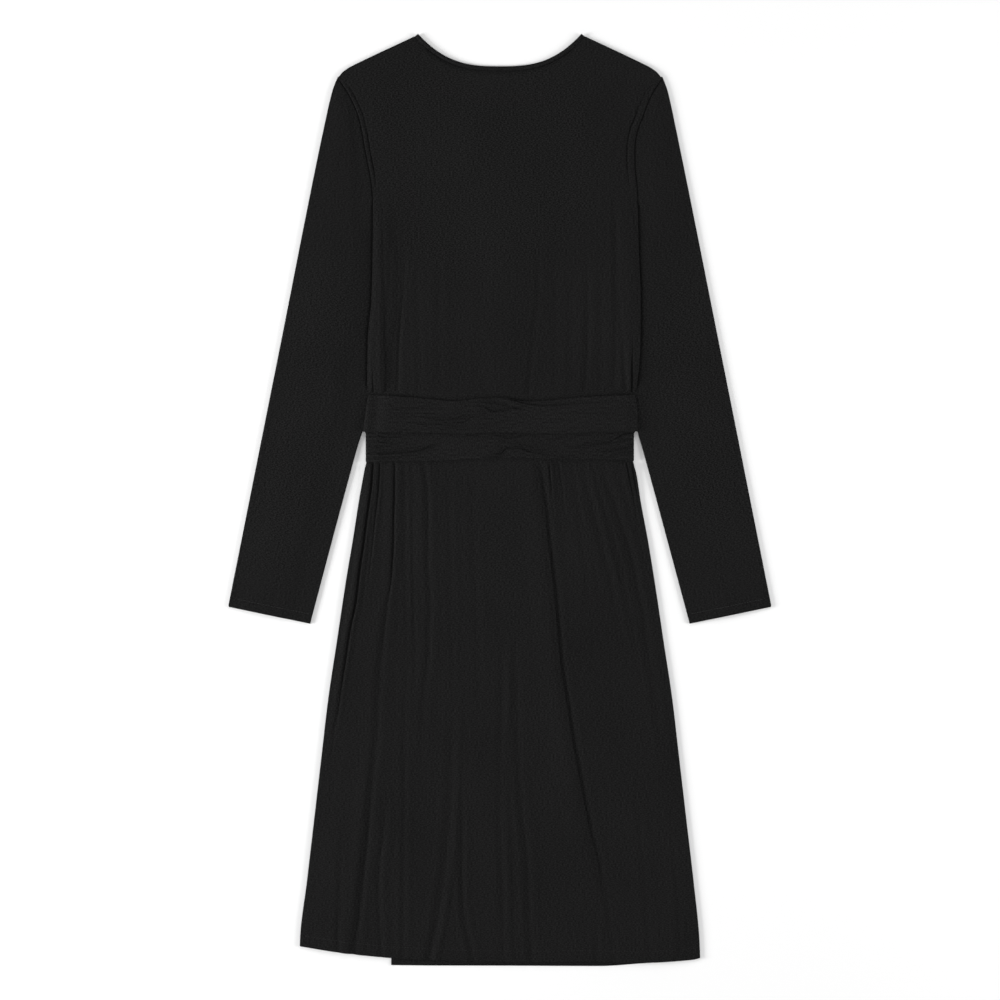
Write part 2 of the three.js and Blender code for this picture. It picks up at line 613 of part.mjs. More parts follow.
function makeBelt() {
  const top = curve(BELT_EDGES, "x", "top");
  const middle = curve(BELT_EDGES, "x", "middle");
  const bottom = curve(BELT_EDGES, "x", "bottom");
  const onBack = 4 * STEP;
  const lowerLevel = () => onBack;
  const hiddenTop = () => BELT_HIDDEN_TOP_Y;
  const upperLevel = (y) => {
    const above = y - BELT_HIDDEN_TOP_Y;
    return onBack + STEP * (1 - smoothRamp(BELT_FALL.starts, BELT_FALL.ends, above));
  };
  const lower = ["belt_back_lower", BELT_ENDS, hiddenTop, bottom, lowerLevel, LOWER_WRINKLES];
  const upper = ["belt_back_upper", BELT_UPPER_ENDS, top, middle, upperLevel, UPPER_WRINKLES];
  return [makeBeltStretch(...lower, BELT_TURN), makeBeltStretch(...upper, BELT_TURN + 1)];
}

// Front stretch of the belt, under everything, as wide at each end as the stretches it carries on
function makeBeltFront() {
  const heights = [BELT_FRONT.bottom, ...BELT_FRONT_ROWS, BELT_FRONT.top];
  const ends = ["left", "right"].map((side) => {
    const lowerEnd = curve(BELT_ENDS, "y", side);
    const upperEnd = curve(BELT_UPPER_ENDS, "y", side);
    const join = (y) => smoothRamp(BELT_FRONT_JOIN.from, BELT_FRONT_JOIN.to, y);
    return (y) => lerp(lowerEnd(y), upperEnd(y), join(y));
  });
  const columns = [ends[0], ...between(ends[0], ends[1], 5), ends[1]].map((x) => ({ x }));
  return panel("belt_front", columns, () => heights, () => 0);
}

const dress = new THREE.Group();
dress.add(
  makeBackBodice(),
  makeBackSkirt(),
  ...makeFronts(),
  makeNeckBinding(),
  makeSleeve("sleeve_left", "left", leftEdge),
  makeSleeve("sleeve_right", "right", rightEdge),
  ...makeBelt(),
  makeBeltFront(),
);

export default dress;
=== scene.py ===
import math

import bpy
import numpy as np
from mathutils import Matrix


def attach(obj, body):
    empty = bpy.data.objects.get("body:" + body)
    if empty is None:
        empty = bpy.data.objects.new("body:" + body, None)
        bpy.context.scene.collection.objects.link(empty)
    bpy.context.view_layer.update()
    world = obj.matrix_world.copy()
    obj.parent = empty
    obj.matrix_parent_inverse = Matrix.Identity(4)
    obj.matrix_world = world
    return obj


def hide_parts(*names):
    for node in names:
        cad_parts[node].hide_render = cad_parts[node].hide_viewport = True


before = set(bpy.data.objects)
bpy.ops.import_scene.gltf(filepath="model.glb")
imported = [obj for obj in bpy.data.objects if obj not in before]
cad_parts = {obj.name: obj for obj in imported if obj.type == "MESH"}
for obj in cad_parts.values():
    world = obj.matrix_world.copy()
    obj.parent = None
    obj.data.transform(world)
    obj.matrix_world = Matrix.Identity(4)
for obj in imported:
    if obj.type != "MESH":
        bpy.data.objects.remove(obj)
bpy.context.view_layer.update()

# The place and the light. A camera looks straight down on the back of the dress from 2.6 m, and the
# floor is plain and pale. Two low lamps at the sides, the left one stronger, rake across the folds, and
# two weaker ones beyond the neck and above the hem, with a white sky, soften them.
MM = 0.001
PHOTO_PIXEL = 1.1 * MM
PHOTO_CENTRE = (499.5, 500.0)
LENS_MM = 85.0
SENSOR_MM = 36.0
CAMERA_X = 0.28 * MM
CAMERA_HEIGHT = 2.597
FLOOR_SIZE = 9.0
FLOOR_COLOUR = (0.83, 0.83, 0.83, 1.0)
LAMPS = [
    dict(name="lamp_left", place=(-2.9, -0.2, 1.15), size=1.1, watts=110.0),
    dict(name="lamp_right", place=(2.9, -0.2, 1.2), size=1.1, watts=64.0),
    dict(name="lamp_top", place=(0.2, 2.4, 1.9), size=1.6, watts=17.0),
    dict(name="lamp_above", place=(-0.1, -0.9, 3.1), size=2.0, watts=19.0),
]


def new_object(name, data):
    """An object in the scene that shows the data: a camera, a lamp or a mesh."""
    thing = bpy.data.objects.new(name, data)
    bpy.context.scene.collection.objects.link(thing)
    return thing


camera_data = bpy.data.cameras.new("camera")
camera_data.lens = LENS_MM
camera_data.sensor_width = SENSOR_MM
camera_data.clip_end = 50.0
camera = new_object("camera", camera_data)
camera.location = (CAMERA_X, 0.0, CAMERA_HEIGHT)
bpy.context.scene.camera = camera


def soft_lamp(name, place, size, watts):
    """A square lamp at place that faces the middle of the dress."""
    lamp_data = bpy.data.lights.new(name, "AREA")
    lamp_data.size = size
    lamp_data.energy = watts
    lamp = new_object(name, lamp_data)
    lamp.location = place
    lamp.rotation_euler = (-lamp.location).to_track_quat("-Z", "Y").to_euler()


for lamp_row in LAMPS:
    soft_lamp(**lamp_row)


def set_inputs(node, values):
    """Each value goes onto the node's input of that name."""
    for name, value in values.items():
        node.inputs[name].default_value = value


sky = bpy.data.worlds.new("white_sky")
sky.use_nodes = True
set_inputs(sky.node_tree.nodes["Background"], {"Color": (1.0, 1.0, 1.0, 1.0), "Strength": 0.34})
bpy.context.scene.world = sky
bpy.context.scene.view_settings.view_transform = "Standard"


def new_material(name):
    """An empty node material, its shader and its node tree."""
    material = bpy.data.materials.new(name)
    material.use_nodes = True
    tree = material.node_tree
    return material, tree.nodes["Principled BSDF"], tree


def place_mesh(mesh, material):
    """The mesh in its material, as an object of the same name in the scene."""
    mesh.materials.append(material)
    return new_object(mesh.name, mesh)


floor_paint, floor_shader = new_material("floor_paint")[:2]
set_inputs(floor_shader, {"Base Color": FLOOR_COLOUR, "Roughness": 0.9})
half_floor = FLOOR_SIZE / 2
floor_mesh = bpy.data.meshes.new("floor")
corners = [(-half_floor, -half_floor, 0), (half_floor, -half_floor, 0)]
corners += [(half_floor, half_floor, 0), (-half_floor, half_floor, 0)]
floor_mesh.from_pydata(corners, [], [(0, 1, 2, 3)])
floor = place_mesh(floor_mesh, floor_paint)


# The cloth. The whole dress is one black viscose jersey, a fine plain knit. Its columns of stitches
# run along each piece, the yarn is a little heathered, and loose fibre gives it a faint bloom.
KNIT_COLUMN = 0.75 * MM
KNIT_COURSE = 0.62 * MM
JERSEY_DARK = (0.0018, 0.0018, 0.0018, 1.0)
JERSEY_LIGHT = (0.0114, 0.0114, 0.0114, 1.0)
BELT_DARK = (0.0014, 0.0014, 0.0014, 1.0)
BELT_LIGHT = (0.0130, 0.0130, 0.0130, 1.0)


def jersey(name, dark, light):
    """Knit cloth on a piece's own flat coordinates in metres: two noises, one fine and drawn out
    across the piece and one broad, mix a dark and a light black. Ribs of stitches and the fine
    noise together raise a low bump, and a sheen stands for the loose fibre."""
    material, shader, tree = new_material(name)
    nodes, links = tree.nodes, tree.links
    flat = nodes.new("ShaderNodeUVMap")
    flat.uv_map = "flat"

    def stretched(x_scale, y_scale):
        """The flat coordinates, each multiplied by its scale."""
        mapping = nodes.new("ShaderNodeMapping")
        set_inputs(mapping, {"Scale": (x_scale, y_scale, 1.0)})
        links.new(flat.outputs["UV"], mapping.inputs["Vector"])
        return mapping.outputs["Vector"]

    def noise(x_scale, y_scale, detail):
        """Smooth noise with so many blobs a metre each way."""
        texture = nodes.new("ShaderNodeTexNoise")
        texture.noise_dimensions = "2D"
        set_inputs(texture, {"Scale": 1.0, "Detail": detail})
        links.new(stretched(x_scale, y_scale), texture.inputs["Vector"])
        return texture.outputs["Fac"]

    def ribs(pitch, direction):
        """Waves at the pitch along X or Y: the texture's own wave is 2 pi / 20 of a unit long."""
        wave = nodes.new("ShaderNodeTexWave")
        wave.bands_direction = direction
        set_inputs(wave, {"Scale": 1.0, "Distortion": 1.2, "Detail Scale": 0.5})
        scale = 2 * math.pi / 20 / pitch
        links.new(stretched(scale, scale), wave.inputs["Vector"])
        return wave.outputs["Fac"]

    def combine(operation, first, second):
        """Two numbers or sockets put together by a math node."""
        node = nodes.new("ShaderNodeMath")
        node.operation = operation
        for socket, value in zip(node.inputs, (first, second)):
            if isinstance(value, float):
                socket.default_value = value
            else:
                links.new(value, socket)
        return node.outputs[0]

    heather = noise(500.0, 1250.0, 2.0)
    cloudy = noise(14.0, 9.0, 3.0)
    blend = combine("ADD", combine("MULTIPLY", heather, 0.93), combine("MULTIPLY", cloudy, 0.07))
    shades = nodes.new("ShaderNodeValToRGB")
    for element, position, colour in zip(shades.color_ramp.elements, (0.39, 0.63), (dark, light)):
        element.position = position
        element.color = colour
    links.new(blend, shades.inputs["Fac"])
    links.new(shades.outputs["Color"], shader.inputs["Base Color"])
    knit = combine("MULTIPLY", ribs(KNIT_COLUMN, "X"), ribs(KNIT_COURSE, "Y"))
    relief = combine("ADD", combine("MULTIPLY", knit, 0.25), combine("MULTIPLY", heather, 0.35))
    bump = nodes.new("ShaderNodeBump")
    set_inputs(bump, {"Strength": 0.32, "Distance": 0.35 * MM})
    links.new(relief, bump.inputs["Height"])
    links.new(bump.outputs["Normal"], shader.inputs["Normal"])
    set_inputs(shader, {
        "Roughness": 0.82, "Specular IOR Level": 0.08,
        "Sheen Weight": 0.02, "Sheen Roughness": 0.45, "Sheen Tint": (0.64, 0.64, 0.64, 1.0),
    })
    return material


dress_jersey = jersey("dress_jersey", JERSEY_DARK, JERSEY_LIGHT)


# The belt's front stretch. One band of jersey lies under the whole dress, between the two turns
# that carry it round to the back. It is hidden, so it is plain.
WALL = 1.3 * MM
GAP = 0.3 * MM
STEP = WALL + GAP
RIM_WIDTH = 0.9 * MM
CROWD_WIDTH = 3.5 * MM
CROWD_SAMPLES = 1500
BELT_FRONT = (43 * MM, 113.5 * MM)
BELT_STEP = 74.5 * MM
BELT_LOWER_LEFT, BELT_LOWER_RIGHT = -147.2 * MM, 147.4 * MM
BELT_UPPER_ENDS = {
    "y": [72, 92, 104, 111, 117],
    "left": [-150.8, -147.8, -146.3, -145, -143.5],
    "right": [151.4, 151.1, 150.5, 149.1, 147.4],
}


def smooth(start, end, value):
    """0 before start, 1 after end, and 3t^2 - 2t^3 between them."""
    t = np.clip((value - start) / (end - start), 0.0, 1.0)
    return t * t * (3 - 2 * t)


def ramp(start, end, value):
    """0 before start, 1 after end, and straight between them."""
    return np.clip((value - start) / (end - start), 0.0, 1.0)


def bell(away, width):
    """A bell curve: 1 where away is 0, and e to the minus (away / width) squared beside it."""
    return np.exp(-((away / width) ** 2))


def through(knots, values, at):
    """Cubic Hermite pieces through the knots. The slope at a knot is the harmonic mean of the two
    chords beside it, or none where they turn back, so that the curve never overshoots."""
    order = np.argsort(knots)
    knots, values = np.asarray(knots, float)[order], np.asarray(values, float)[order]
    chords = np.diff(values) / np.diff(knots)
    slopes = np.zeros_like(values)
    slopes[0], slopes[-1] = chords[0], chords[-1]
    before, after = chords[:-1], chords[1:]
    turning = before * after <= 0
    total = np.where(turning, 1.0, before + after)
    slopes[1:-1] = np.where(turning, 0.0, 2 * before * after / total)
    at = np.clip(at, knots[0], knots[-1])
    i = np.clip(np.searchsorted(knots, at, side="right") - 1, 0, len(knots) - 2)
    span = knots[i + 1] - knots[i]
    t = (at - knots[i]) / span
    start = (1 + 2 * t) * (1 - t) ** 2 * values[i] + t * (1 - t) ** 2 * span * slopes[i]
    end = t * t * (3 - 2 * t) * values[i + 1] + t * t * (t - 1) * span * slopes[i + 1]
    return start + end


def column(table, name, by="y"):
    """One named column of a table in millimetres, as a function in metres of the column by."""
    return lambda at: through(table[by], table[name], np.asarray(at) / MM) * MM


def spread(count, edge_share):
    """Shares from 0 to 1, evenly spaced, with three more close to each end for a rounded rim."""
    rim = np.array([0.0, 0.08, 0.3, 0.65]) * edge_share
    return np.unique(np.concatenate([rim, np.linspace(edge_share, 1 - edge_share, count), 1 - rim]))


def quarter_round(t):
    """A quarter circle that rises steeply from 0 at t = 0 and levels out to 1 at t = 1."""
    return np.sqrt(np.clip(1 - (1 - np.clip(t, 0, 1)) ** 2, 0, 1))


def rim_factor(shares, edge_share):
    """How thick the cloth is at each share: a quarter circle rising over edge_share at both ends."""
    return quarter_round(np.minimum(shares, 1 - shares) / edge_share)


def add_cloth(name, upper, lower, flat, material):
    """A closed mesh of two grids of points that share their rim, smooth all over. flat holds the
    place of each grid point on the cloth before it was sewn, in metres."""
    rows, columns = upper.shape[:2]
    count = rows * columns
    index = np.arange(count).reshape(rows, columns)
    here, right, above, across = index[:-1, :-1], index[:-1, 1:], index[1:, :-1], index[1:, 1:]
    top = np.stack([here, right, across, above], -1).reshape(-1, 4)
    under = np.stack([here, above, across, right], -1).reshape(-1, 4) + count
    loop = np.concatenate([index[0, :], index[1:, -1], index[-1, -2::-1], index[-2:0:-1, 0]])
    after = np.roll(loop, -1)
    rim = np.stack([after, loop, loop + count, after + count], -1)
    faces = np.concatenate([top, under, rim]).astype(np.int32)
    points = np.concatenate([upper.reshape(-1, 3), lower.reshape(-1, 3)])
    mesh = bpy.data.meshes.new(name)
    mesh.vertices.add(len(points))
    mesh.vertices.foreach_set("co", points.ravel())
    mesh.loops.add(faces.size)
    mesh.loops.foreach_set("vertex_index", faces.ravel())
    mesh.polygons.add(len(faces))
    mesh.polygons.foreach_set("loop_start", np.arange(0, faces.size, 4, dtype=np.int32))
    mesh.polygons.foreach_set("use_smooth", np.ones(len(faces), bool))
    mesh.update(calc_edges=True)
    layer = mesh.uv_layers.new(name="flat")
    places = np.concatenate([flat.reshape(-1, 2), flat.reshape(-1, 2)])
    layer.data.foreach_set("uv", places[faces.ravel()].ravel())
    return place_mesh(mesh, material)


def crowd(u, y, left, right, lines):
    """Shares across a panel at each height y for evenly spaced shares u: the columns draw together
    near each line, four times as close within a few millimetres of it."""
    even = np.linspace(0, 1, CROWD_SAMPLES)
    x = left(y)[:, None] + (right(y) - left(y))[:, None] * even[None, :]
    density = np.ones_like(x)
    for line in lines:
        density += 3.0 * bell(x - line(y)[:, None], CROWD_WIDTH)
    sums = np.cumsum(density, axis=1) - density[:, :1]
    sums /= sums[:, -1:]
    return np.stack([np.interp(u, row, even) for row in sums])


def lay_panel(name, left, right, foot, head, size, underside, material, lines=()):
    """A sheet whose points run straight from its left to its right edge line at every height, and
    in each column from foot(x) to head(x). Its lower face is at underside(x, y), a wall below its
    upper one, and never under the floor. Its rim is rounded, and its columns draw together along the
    given lines."""
    columns, rows = size
    low_y, high_y = float(foot(0.0)), float(head(0.0))
    width = float(right(low_y) - left(low_y))
    across_edge, along_edge = RIM_WIDTH / width, RIM_WIDTH / (high_y - low_y)
    u, v = spread(columns, across_edge), spread(rows, along_edge)
    share = crowd(u, low_y + (high_y - low_y) * v, left, right, lines)
    foot_x = left(low_y) + (right(low_y) - left(low_y)) * share[0]
    head_x = left(high_y) + (right(high_y) - left(high_y)) * share[-1]
    y = foot(foot_x)[None, :] * (1 - v[:, None]) + head(head_x)[None, :] * v[:, None]
    x = left(y) + (right(y) - left(y)) * share
    middle = underside(x, y) + WALL / 2
    half = WALL / 2 * rim_factor(u, across_edge)[None, :] * rim_factor(v, along_edge)[:, None]
    upper = np.stack([x, y, middle + half], -1)
    lower = np.stack([x, y, np.maximum(middle - half, 0)], -1)
    return add_cloth(name, upper, lower, np.stack([x, y], -1), material)


belt_jersey = jersey("belt_jersey", BELT_DARK, BELT_LIGHT)
upper_left = column(BELT_UPPER_ENDS, "left")
upper_right = column(BELT_UPPER_ENDS, "right")


def belt_end(lower_end, upper_end):
    """The belt's end at height y: the lower stretch's, then the upper stretch's above its edge."""
    def end(y):
        share = smooth(BELT_STEP, BELT_STEP + 3.5 * MM, y)
        return lower_end * (1 - share) + upper_end(y) * share
    return end


belt_front = lay_panel(
    "belt_front_band",
    belt_end(BELT_LOWER_LEFT, upper_left),
    belt_end(BELT_LOWER_RIGHT, upper_right),
    lambda x: BELT_FRONT[0] + 0 * x,
    lambda x: BELT_FRONT[1] + 0 * x,
    (60, 20),
    lambda x, y: 0 * x,
    belt_jersey,
)
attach(belt_front, "root")
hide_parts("belt_front")


# The two fronts. Each is a bodice and a skirt panel joined at the waist under the belt. The one
# that hangs from the right side wraps over and lies lowest, the other one wraps under it.
EDGES = {
    "y": [-512, -484, -418, -352, -286, -220, -154, -88, -44, 0, 28, 35, 41, 75, 116, 121, 175,
          220, 275, 329, 350, 368, 387, 404, 421, 438, 449, 458, 464.5, 469],
    "left": [-220, -219.5, -211.8, -204.1, -196.4, -188.7, -178.8, -168.9, -161.5, -154.6, -149.6,
             -148.2, -146.6, -143.8, -141.3, -144.8, -144.2, -140.3, -138.8, -138.4, -140.3, -143.4,
             -147.2, -150, -154, -160.8, -166.8, -172.8, -177, -177.4],
    "right": [220.5, 219.5, 212.9, 205.2, 197.5, 189.8, 179.9, 170, 162.8, 154.6, 150.3, 148.4,
              146.8, 144, 144.9, 149.1, 153.7, 154, 152, 150.4, 149, 147, 147, 149.5, 155.8, 162,
              167.6, 173.5, 177.8, 178.2],
}
FREE_EDGES = {
    "y": [-512, 0, 77, 200, 320, 430, 512],
    "over": [-119.4, -113, -110, -58, 0, 54, 92],
    "under": [116, 113, 110, 58, 0, -54, -92],
}
HEMS = {
    "x": [-220, -170, -119, -64, 0, 110, 155, 214, 221],
    "back": [-490.5, -498, -503, -505.6, -507.6, -507.4, -508.4, -504.8, -502.5],
    "over": [-509, -510, -511.4, -511.9, -512, -512.4, -509.6, -505.5, -503.5],
    "under": [-487, -494, -498, -500, -501, -501, -500, -498, -495],
}
WAIST = 77 * MM
BELT_RISE, BELT_FALL = (30 * MM, 41 * MM), (117 * MM, 128 * MM)
SLEEVE_RISE, SLEEVE_FALL = (116 * MM, 132 * MM), (320 * MM, 336 * MM)
CHEST, CHEST_FADE = 400 * MM, 50 * MM
SIDE_FALL = 24 * MM
BINDING = 4.8 * MM
SHOULDER = {"x": [92.4, 153.5, 165, 172, 178], "y": [510.2, 481.4, 475.6, 470.8, 464.2]}
TUCK_DEEP = 16.5 * MM
TUCK_RISE, TUCK_FALL = (134 * MM, 185 * MM), (265 * MM, 318 * MM)
TUCK_SLOPE = (6 * MM, 16.5 * MM)

left_edge, right_edge = column(EDGES, "left"), column(EDGES, "right")
over_edge, under_edge = column(FREE_EDGES, "over"), column(FREE_EDGES, "under")
back_hem, over_hem, under_hem = (column(HEMS, name, "x") for name in ("back", "over", "under"))


def side_distance(x, y):
    """Distance to the nearer side edge of the dress at this height."""
    return np.minimum(x - left_edge(y), right_edge(y) - x)


def lift(x, y):
    """How much of a layer's step is left: none at the side edges, all of it further in, and none
    again towards the shoulders."""
    return ramp(0, SIDE_FALL, side_distance(x, y)) * (1 - smooth(CHEST, CHEST + CHEST_FADE, y))


def tuck_depth(y):
    """How far the sleeve is turned in under the bodice at height y."""
    return TUCK_DEEP * smooth(*TUCK_RISE, y) * (1 - smooth(*TUCK_FALL, y))


def over_belt(y):
    """1 where the layers above lie on the belt's front stretch, 0 clear of it, and straight between."""
    return ramp(*BELT_RISE, y) * (1 - ramp(*BELT_FALL, y))


def ground(x, y):
    """Lower face of the front that wraps over: one layer of belt below it at the waist, and two of
    sleeve at the sides."""
    near_sleeve = ramp(*SLEEVE_RISE, y) * (1 - ramp(*SLEEVE_FALL, y))
    beyond = side_distance(x, y) - tuck_depth(y)
    return STEP * np.maximum(over_belt(y), 2 * near_sleeve * (1 - ramp(*TUCK_SLOPE, beyond)))


def shoulder(x):
    """Height of the shoulder seam at x: nearly straight from the neck, and round at its end."""
    return column(SHOULDER, "y", "x")(np.abs(x))


def bound_edge(edge, inward):
    """A free edge moved in by the width of its binding above the waist, and left as it is below."""
    return lambda y: edge(y) + np.where(np.asarray(y) > WAIST, inward * (BINDING + GAP), 0.0)


def on_first(x, y):
    """Lower face of the front that wraps under, one lifted step higher."""
    return ground(x, y) + STEP * lift(x, y)


skirt_top = lambda x: WAIST - GAP / 2 + 0 * x
bodice_foot = lambda x: WAIST + GAP / 2 + 0 * x
FRONTS = [
    ("over", bound_edge(over_edge, 1), right_edge, over_edge, right_edge, over_hem, ground),
    ("under", left_edge, bound_edge(under_edge, -1), left_edge, under_edge, under_hem, on_first),
]
for wrap, bodice_left, bodice_right, skirt_left, skirt_right, hem, underside in FRONTS:
    skirt = lay_panel(
        f"skirt_front_{wrap}", skirt_left, skirt_right, hem, skirt_top, (60, 80), underside, dress_jersey
    )
    bodice = lay_panel(
        f"bodice_front_{wrap}", bodice_left, bodice_right, bodice_foot, shoulder, (50, 90), underside,
        dress_jersey,
    )
    if wrap == "over":
        strip_left, strip_right = over_edge, lambda y: over_edge(y) + BINDING
    else:
        strip_left, strip_right = lambda y: under_edge(y) - BINDING, under_edge
    binding = lay_panel(
        f"binding_front_{wrap}", strip_left, strip_right, bodice_foot, shoulder, (6, 90), underside,
        dress_jersey,
    )
    for piece, node, slot in [
        (skirt, f"front_skirt_{wrap}", "jersey"),
        (bodice, f"front_bodice_{wrap}", "jersey"),
        (binding, f"neck_binding_{wrap}", "binding"),
    ]:
        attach(piece, "root")
        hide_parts(node)


# The back skirt. One flared panel of jersey hangs in soft folds from the waist seam. They are
# placed where the cloth shows them, each a groove between two rolls of its own heights.
# A crease is the line of its groove in the photograph, how strong it is along that line, the half
# width and depth of the groove, and height and width of the rolls before and after it.
CREASE_COLUMNS = ("x", "y", "fade", "core", "deep", "before", "after")
SKIRT_CREASES = [
    # the deep fold along the left side, with two small ridges beside it
    ([373, 371, 366.7, 363.6, 359.7, 355, 350, 345.6, 341, 338, 334.6, 330],
     [462, 486, 517, 542, 567, 605, 628, 658, 689, 711, 731, 770],
     [0.8, 1, 1, 1, 1, 0.95, 0.85, 0.75, 0.55, 0.4, 0.2, 0], 1.6, 1.1, (2.4, 11), (1.7, 8)),
    ([379.5, 378, 375, 371, 366], [462, 490, 520, 560, 610], [0.9, 1, 0.8, 0.5, 0],
     1.3, 0.7, (0.9, 4), (0.9, 6)),
    # the long fold beside it, sharp below the belt and again towards the hem
    ([394.4, 394.2, 393.3, 393.2, 392.2, 391, 388, 385, 380.5],
     [462, 492, 520, 542, 561, 580, 600, 622, 665], [0.9, 1, 1, 1, 0.95, 0.75, 0.45, 0.3, 0],
     1.8, 1.0, (1.3, 13), (1.6, 12)),
    ([388, 385, 381, 378.5, 377.5, 375, 371.5, 369, 366.5, 363, 358.5, 354.6, 351],
     [590, 622, 660, 700, 725, 754, 783, 811, 840, 871, 915, 945, 968],
     [0, 0.5, 0.6, 0.5, 0.5, 0.65, 0.8, 0.9, 1, 1, 1, 0.9, 0.8], 3.8, 1.5, (1.5, 20), (0.7, 16)),
    ([386, 384.5, 380, 378.5, 381, 382], [790, 828, 860, 878, 945, 965], [0, 0.8, 1, 1, 0.8, 0.8],
     3.0, 0.7, (0.4, 9), (0.9, 14)),
    ([423.3, 427, 427.3, 427.3, 429.3, 430.3, 428.7, 428.7, 424, 423, 422],
     [462, 495, 530, 555, 585, 608, 625, 648, 696, 730, 800],
     [0.8, 1, 1, 0.9, 0.75, 0.7, 0.75, 0.7, 0.5, 0.35, 0], 3.0, 1.1, (0.9, 14), (0.9, 18)),
    # the long slanting fold right of the middle, with two short pleats beside its top
    ([537.8, 540.8, 543.5, 545.8, 547.8, 551.8, 555.8, 558.9, 561.5, 567.5, 572, 578, 584, 591, 598.6,
      602, 608, 612, 614],
     [462, 478, 496, 512, 535, 567, 605, 640, 668, 704, 735, 768, 799, 835, 864, 883, 907, 940, 965],
     [0.6, 0.75, 0.8, 0.85, 0.95, 1, 1, 1, 1, 1, 1, 1, 0.95, 0.85, 0.7, 0.6, 0.4, 0.3, 0.25],
     3.9, 2.1, (2.5, 32), (0.9, 18)),
    ([548.6, 549.8, 552, 555], [462, 478, 500, 530], [1, 0.9, 0.5, 0], 1.4, 0.7, (0.8, 4), (1.4, 5)),
    ([557.5, 560, 563, 567], [462, 479, 500, 525], [1, 0.9, 0.4, 0], 2.0, 0.9, (0.9, 4), (0.8, 8)),
    # folds of the right side: two dark bands with light ridges between them
    ([582, 586, 591, 596.5, 603, 609, 614, 620, 627], [462, 482, 503, 525, 551, 575, 597, 630, 680],
     [0.3, 0.6, 0.9, 1, 1, 0.9, 0.7, 0.4, 0], 4.4, 1.1, (0.5, 14), (1.6, 10)),
    ([602, 605, 611.5, 617.5, 625.5, 632, 636, 641, 644, 649, 653, 659, 664],
     [462, 478, 495, 517, 541, 567, 591, 612, 636, 665, 690, 728, 780],
     [0.3, 0.55, 0.8, 0.9, 1, 1, 0.95, 0.9, 0.8, 0.65, 0.55, 0.35, 0], 4.8, 1.8, (1.4, 11), (1.5, 15)),
    ([625.5, 630, 634, 638, 643], [462, 486, 505, 530, 570], [1, 0.9, 0.5, 0.3, 0],
     1.6, 0.9, (1.2, 7), (0.9, 3.5)),
    ([631, 634.5, 637], [462, 483, 500], [1, 0.8, 0.2], 1.1, 1.2, (0.3, 2.5), (1.0, 4)),
    # folds that open towards the hem
    ([453, 451.5, 450, 447.5, 445, 440.7, 436, 430, 425], [690, 754, 800, 835, 862, 895, 925, 952, 968],
     [0, 0.5, 0.6, 0.65, 0.7, 0.8, 0.9, 1, 1], 4.6, 1.4, (0.8, 16), (1.5, 13)),
    ([461, 461.5, 461.5, 461.5, 463, 467, 471, 475], [780, 828, 859, 883, 914, 935, 952, 968],
     [0, 0.6, 0.85, 1, 0.95, 0.9, 0.9, 0.8], 3.2, 1.3, (1.0, 10), (0.9, 14)),
    ([503, 502, 501.5, 500.5, 500, 500.5, 502, 503, 503.5], [630, 680, 711, 770, 820, 847, 883, 930, 968],
     [0, 0.6, 0.7, 0.4, 0.5, 0.8, 0.9, 0.6, 0.5], 4.0, 1.1, (0.5, 12), (1.6, 11)),
    ([515.5, 517, 518.5, 522, 525.5, 527, 528, 530, 532], [630, 716, 763, 818, 852, 883, 914, 945, 968],
     [0, 0.6, 0.6, 0.8, 0.95, 0.9, 0.8, 0.8, 0.8], 4.0, 1.3, (1.4, 11), (1.0, 20)),
    ([598, 596.5, 596], [915, 940, 968], [0, 0.8, 1], 3.5, 0.9, (0.5, 9), (0.6, 8)),
    # broad faint ones
    ([343.6, 340, 337], [810, 895, 968], [0, 0.8, 1], 3, 0.6, (0.5, 12), (0.5, 11)),
    ([407, 405, 404, 403], [640, 720, 850, 968], [0, 0.6, 0.9, 1], 3, 0.7, (0.5, 10), (0.5, 12)),
    ([668, 673, 678, 679], [800, 850, 910, 968], [0, 0.5, 1, 1], 3, 0.9, (0.6, 12), (0.7, 8)),
    ([634, 640, 647, 650], [760, 830, 910, 968], [0, 0.7, 0.9, 1], 3.5, 0.6, (0.5, 14), (0.5, 14)),
    ([474, 474, 478, 481], [462, 540, 640, 760], [0.5, 0.8, 0.7, 0], 4, 0.5, (0.3, 14), (0.4, 16)),
    ([449, 450, 452, 453], [462, 540, 620, 720], [0.4, 0.8, 0.7, 0], 3.5, 0.5, (0.3, 11), (0.4, 12)),
    ([404, 405, 406, 408], [462, 520, 590, 680], [0.6, 0.8, 0.6, 0], 2.5, 0.6, (0.3, 8), (0.4, 8)),
    ([413, 413, 414, 415], [470, 540, 610, 700], [0.2, 0.7, 0.8, 0], 2.2, 0.5, (0.3, 7), (0.3, 8)),
    ([572, 577, 584, 592], [462, 500, 560, 640], [0.6, 0.9, 0.8, 0], 3.5, 0.7, (0.4, 10), (0.4, 12)),
]
BELT_EDGES = {
    "x": [-151, -113, -79, -50, -36, 0, 27, 47, 72, 105, 152],
    "top": [116.3, 114, 111.2, 108.5, 110.2, 113, 108.5, 108.9, 111.3, 114, 115.6],
    "middle": [75, 74, 73.8, 73, 72.3, 74, 73.6, 73, 72.4, 74.6, 75.2],
    "bottom": [41.6, 42.2, 42.7, 43.8, 44.4, 45.6, 46, 44.9, 44.1, 45, 42.8],
}
BELT_LOW_EDGE = 41 * MM
SKIRT_PRESS, BODICE_PRESS, PRESS_WIDTH = 1.9 * MM, 2.4 * MM, 2.0 * MM
PRESS_BESIDE = 0.9 * MM
ROLL_RISE = 1.8
SHARP_CORE = 2.3
HEM_STITCH = 12.5 * MM
STITCH_DENT, STITCH_DENT_WIDTH = 0.25 * MM, 0.8 * MM
belt_top = column(BELT_EDGES, "top", "x")
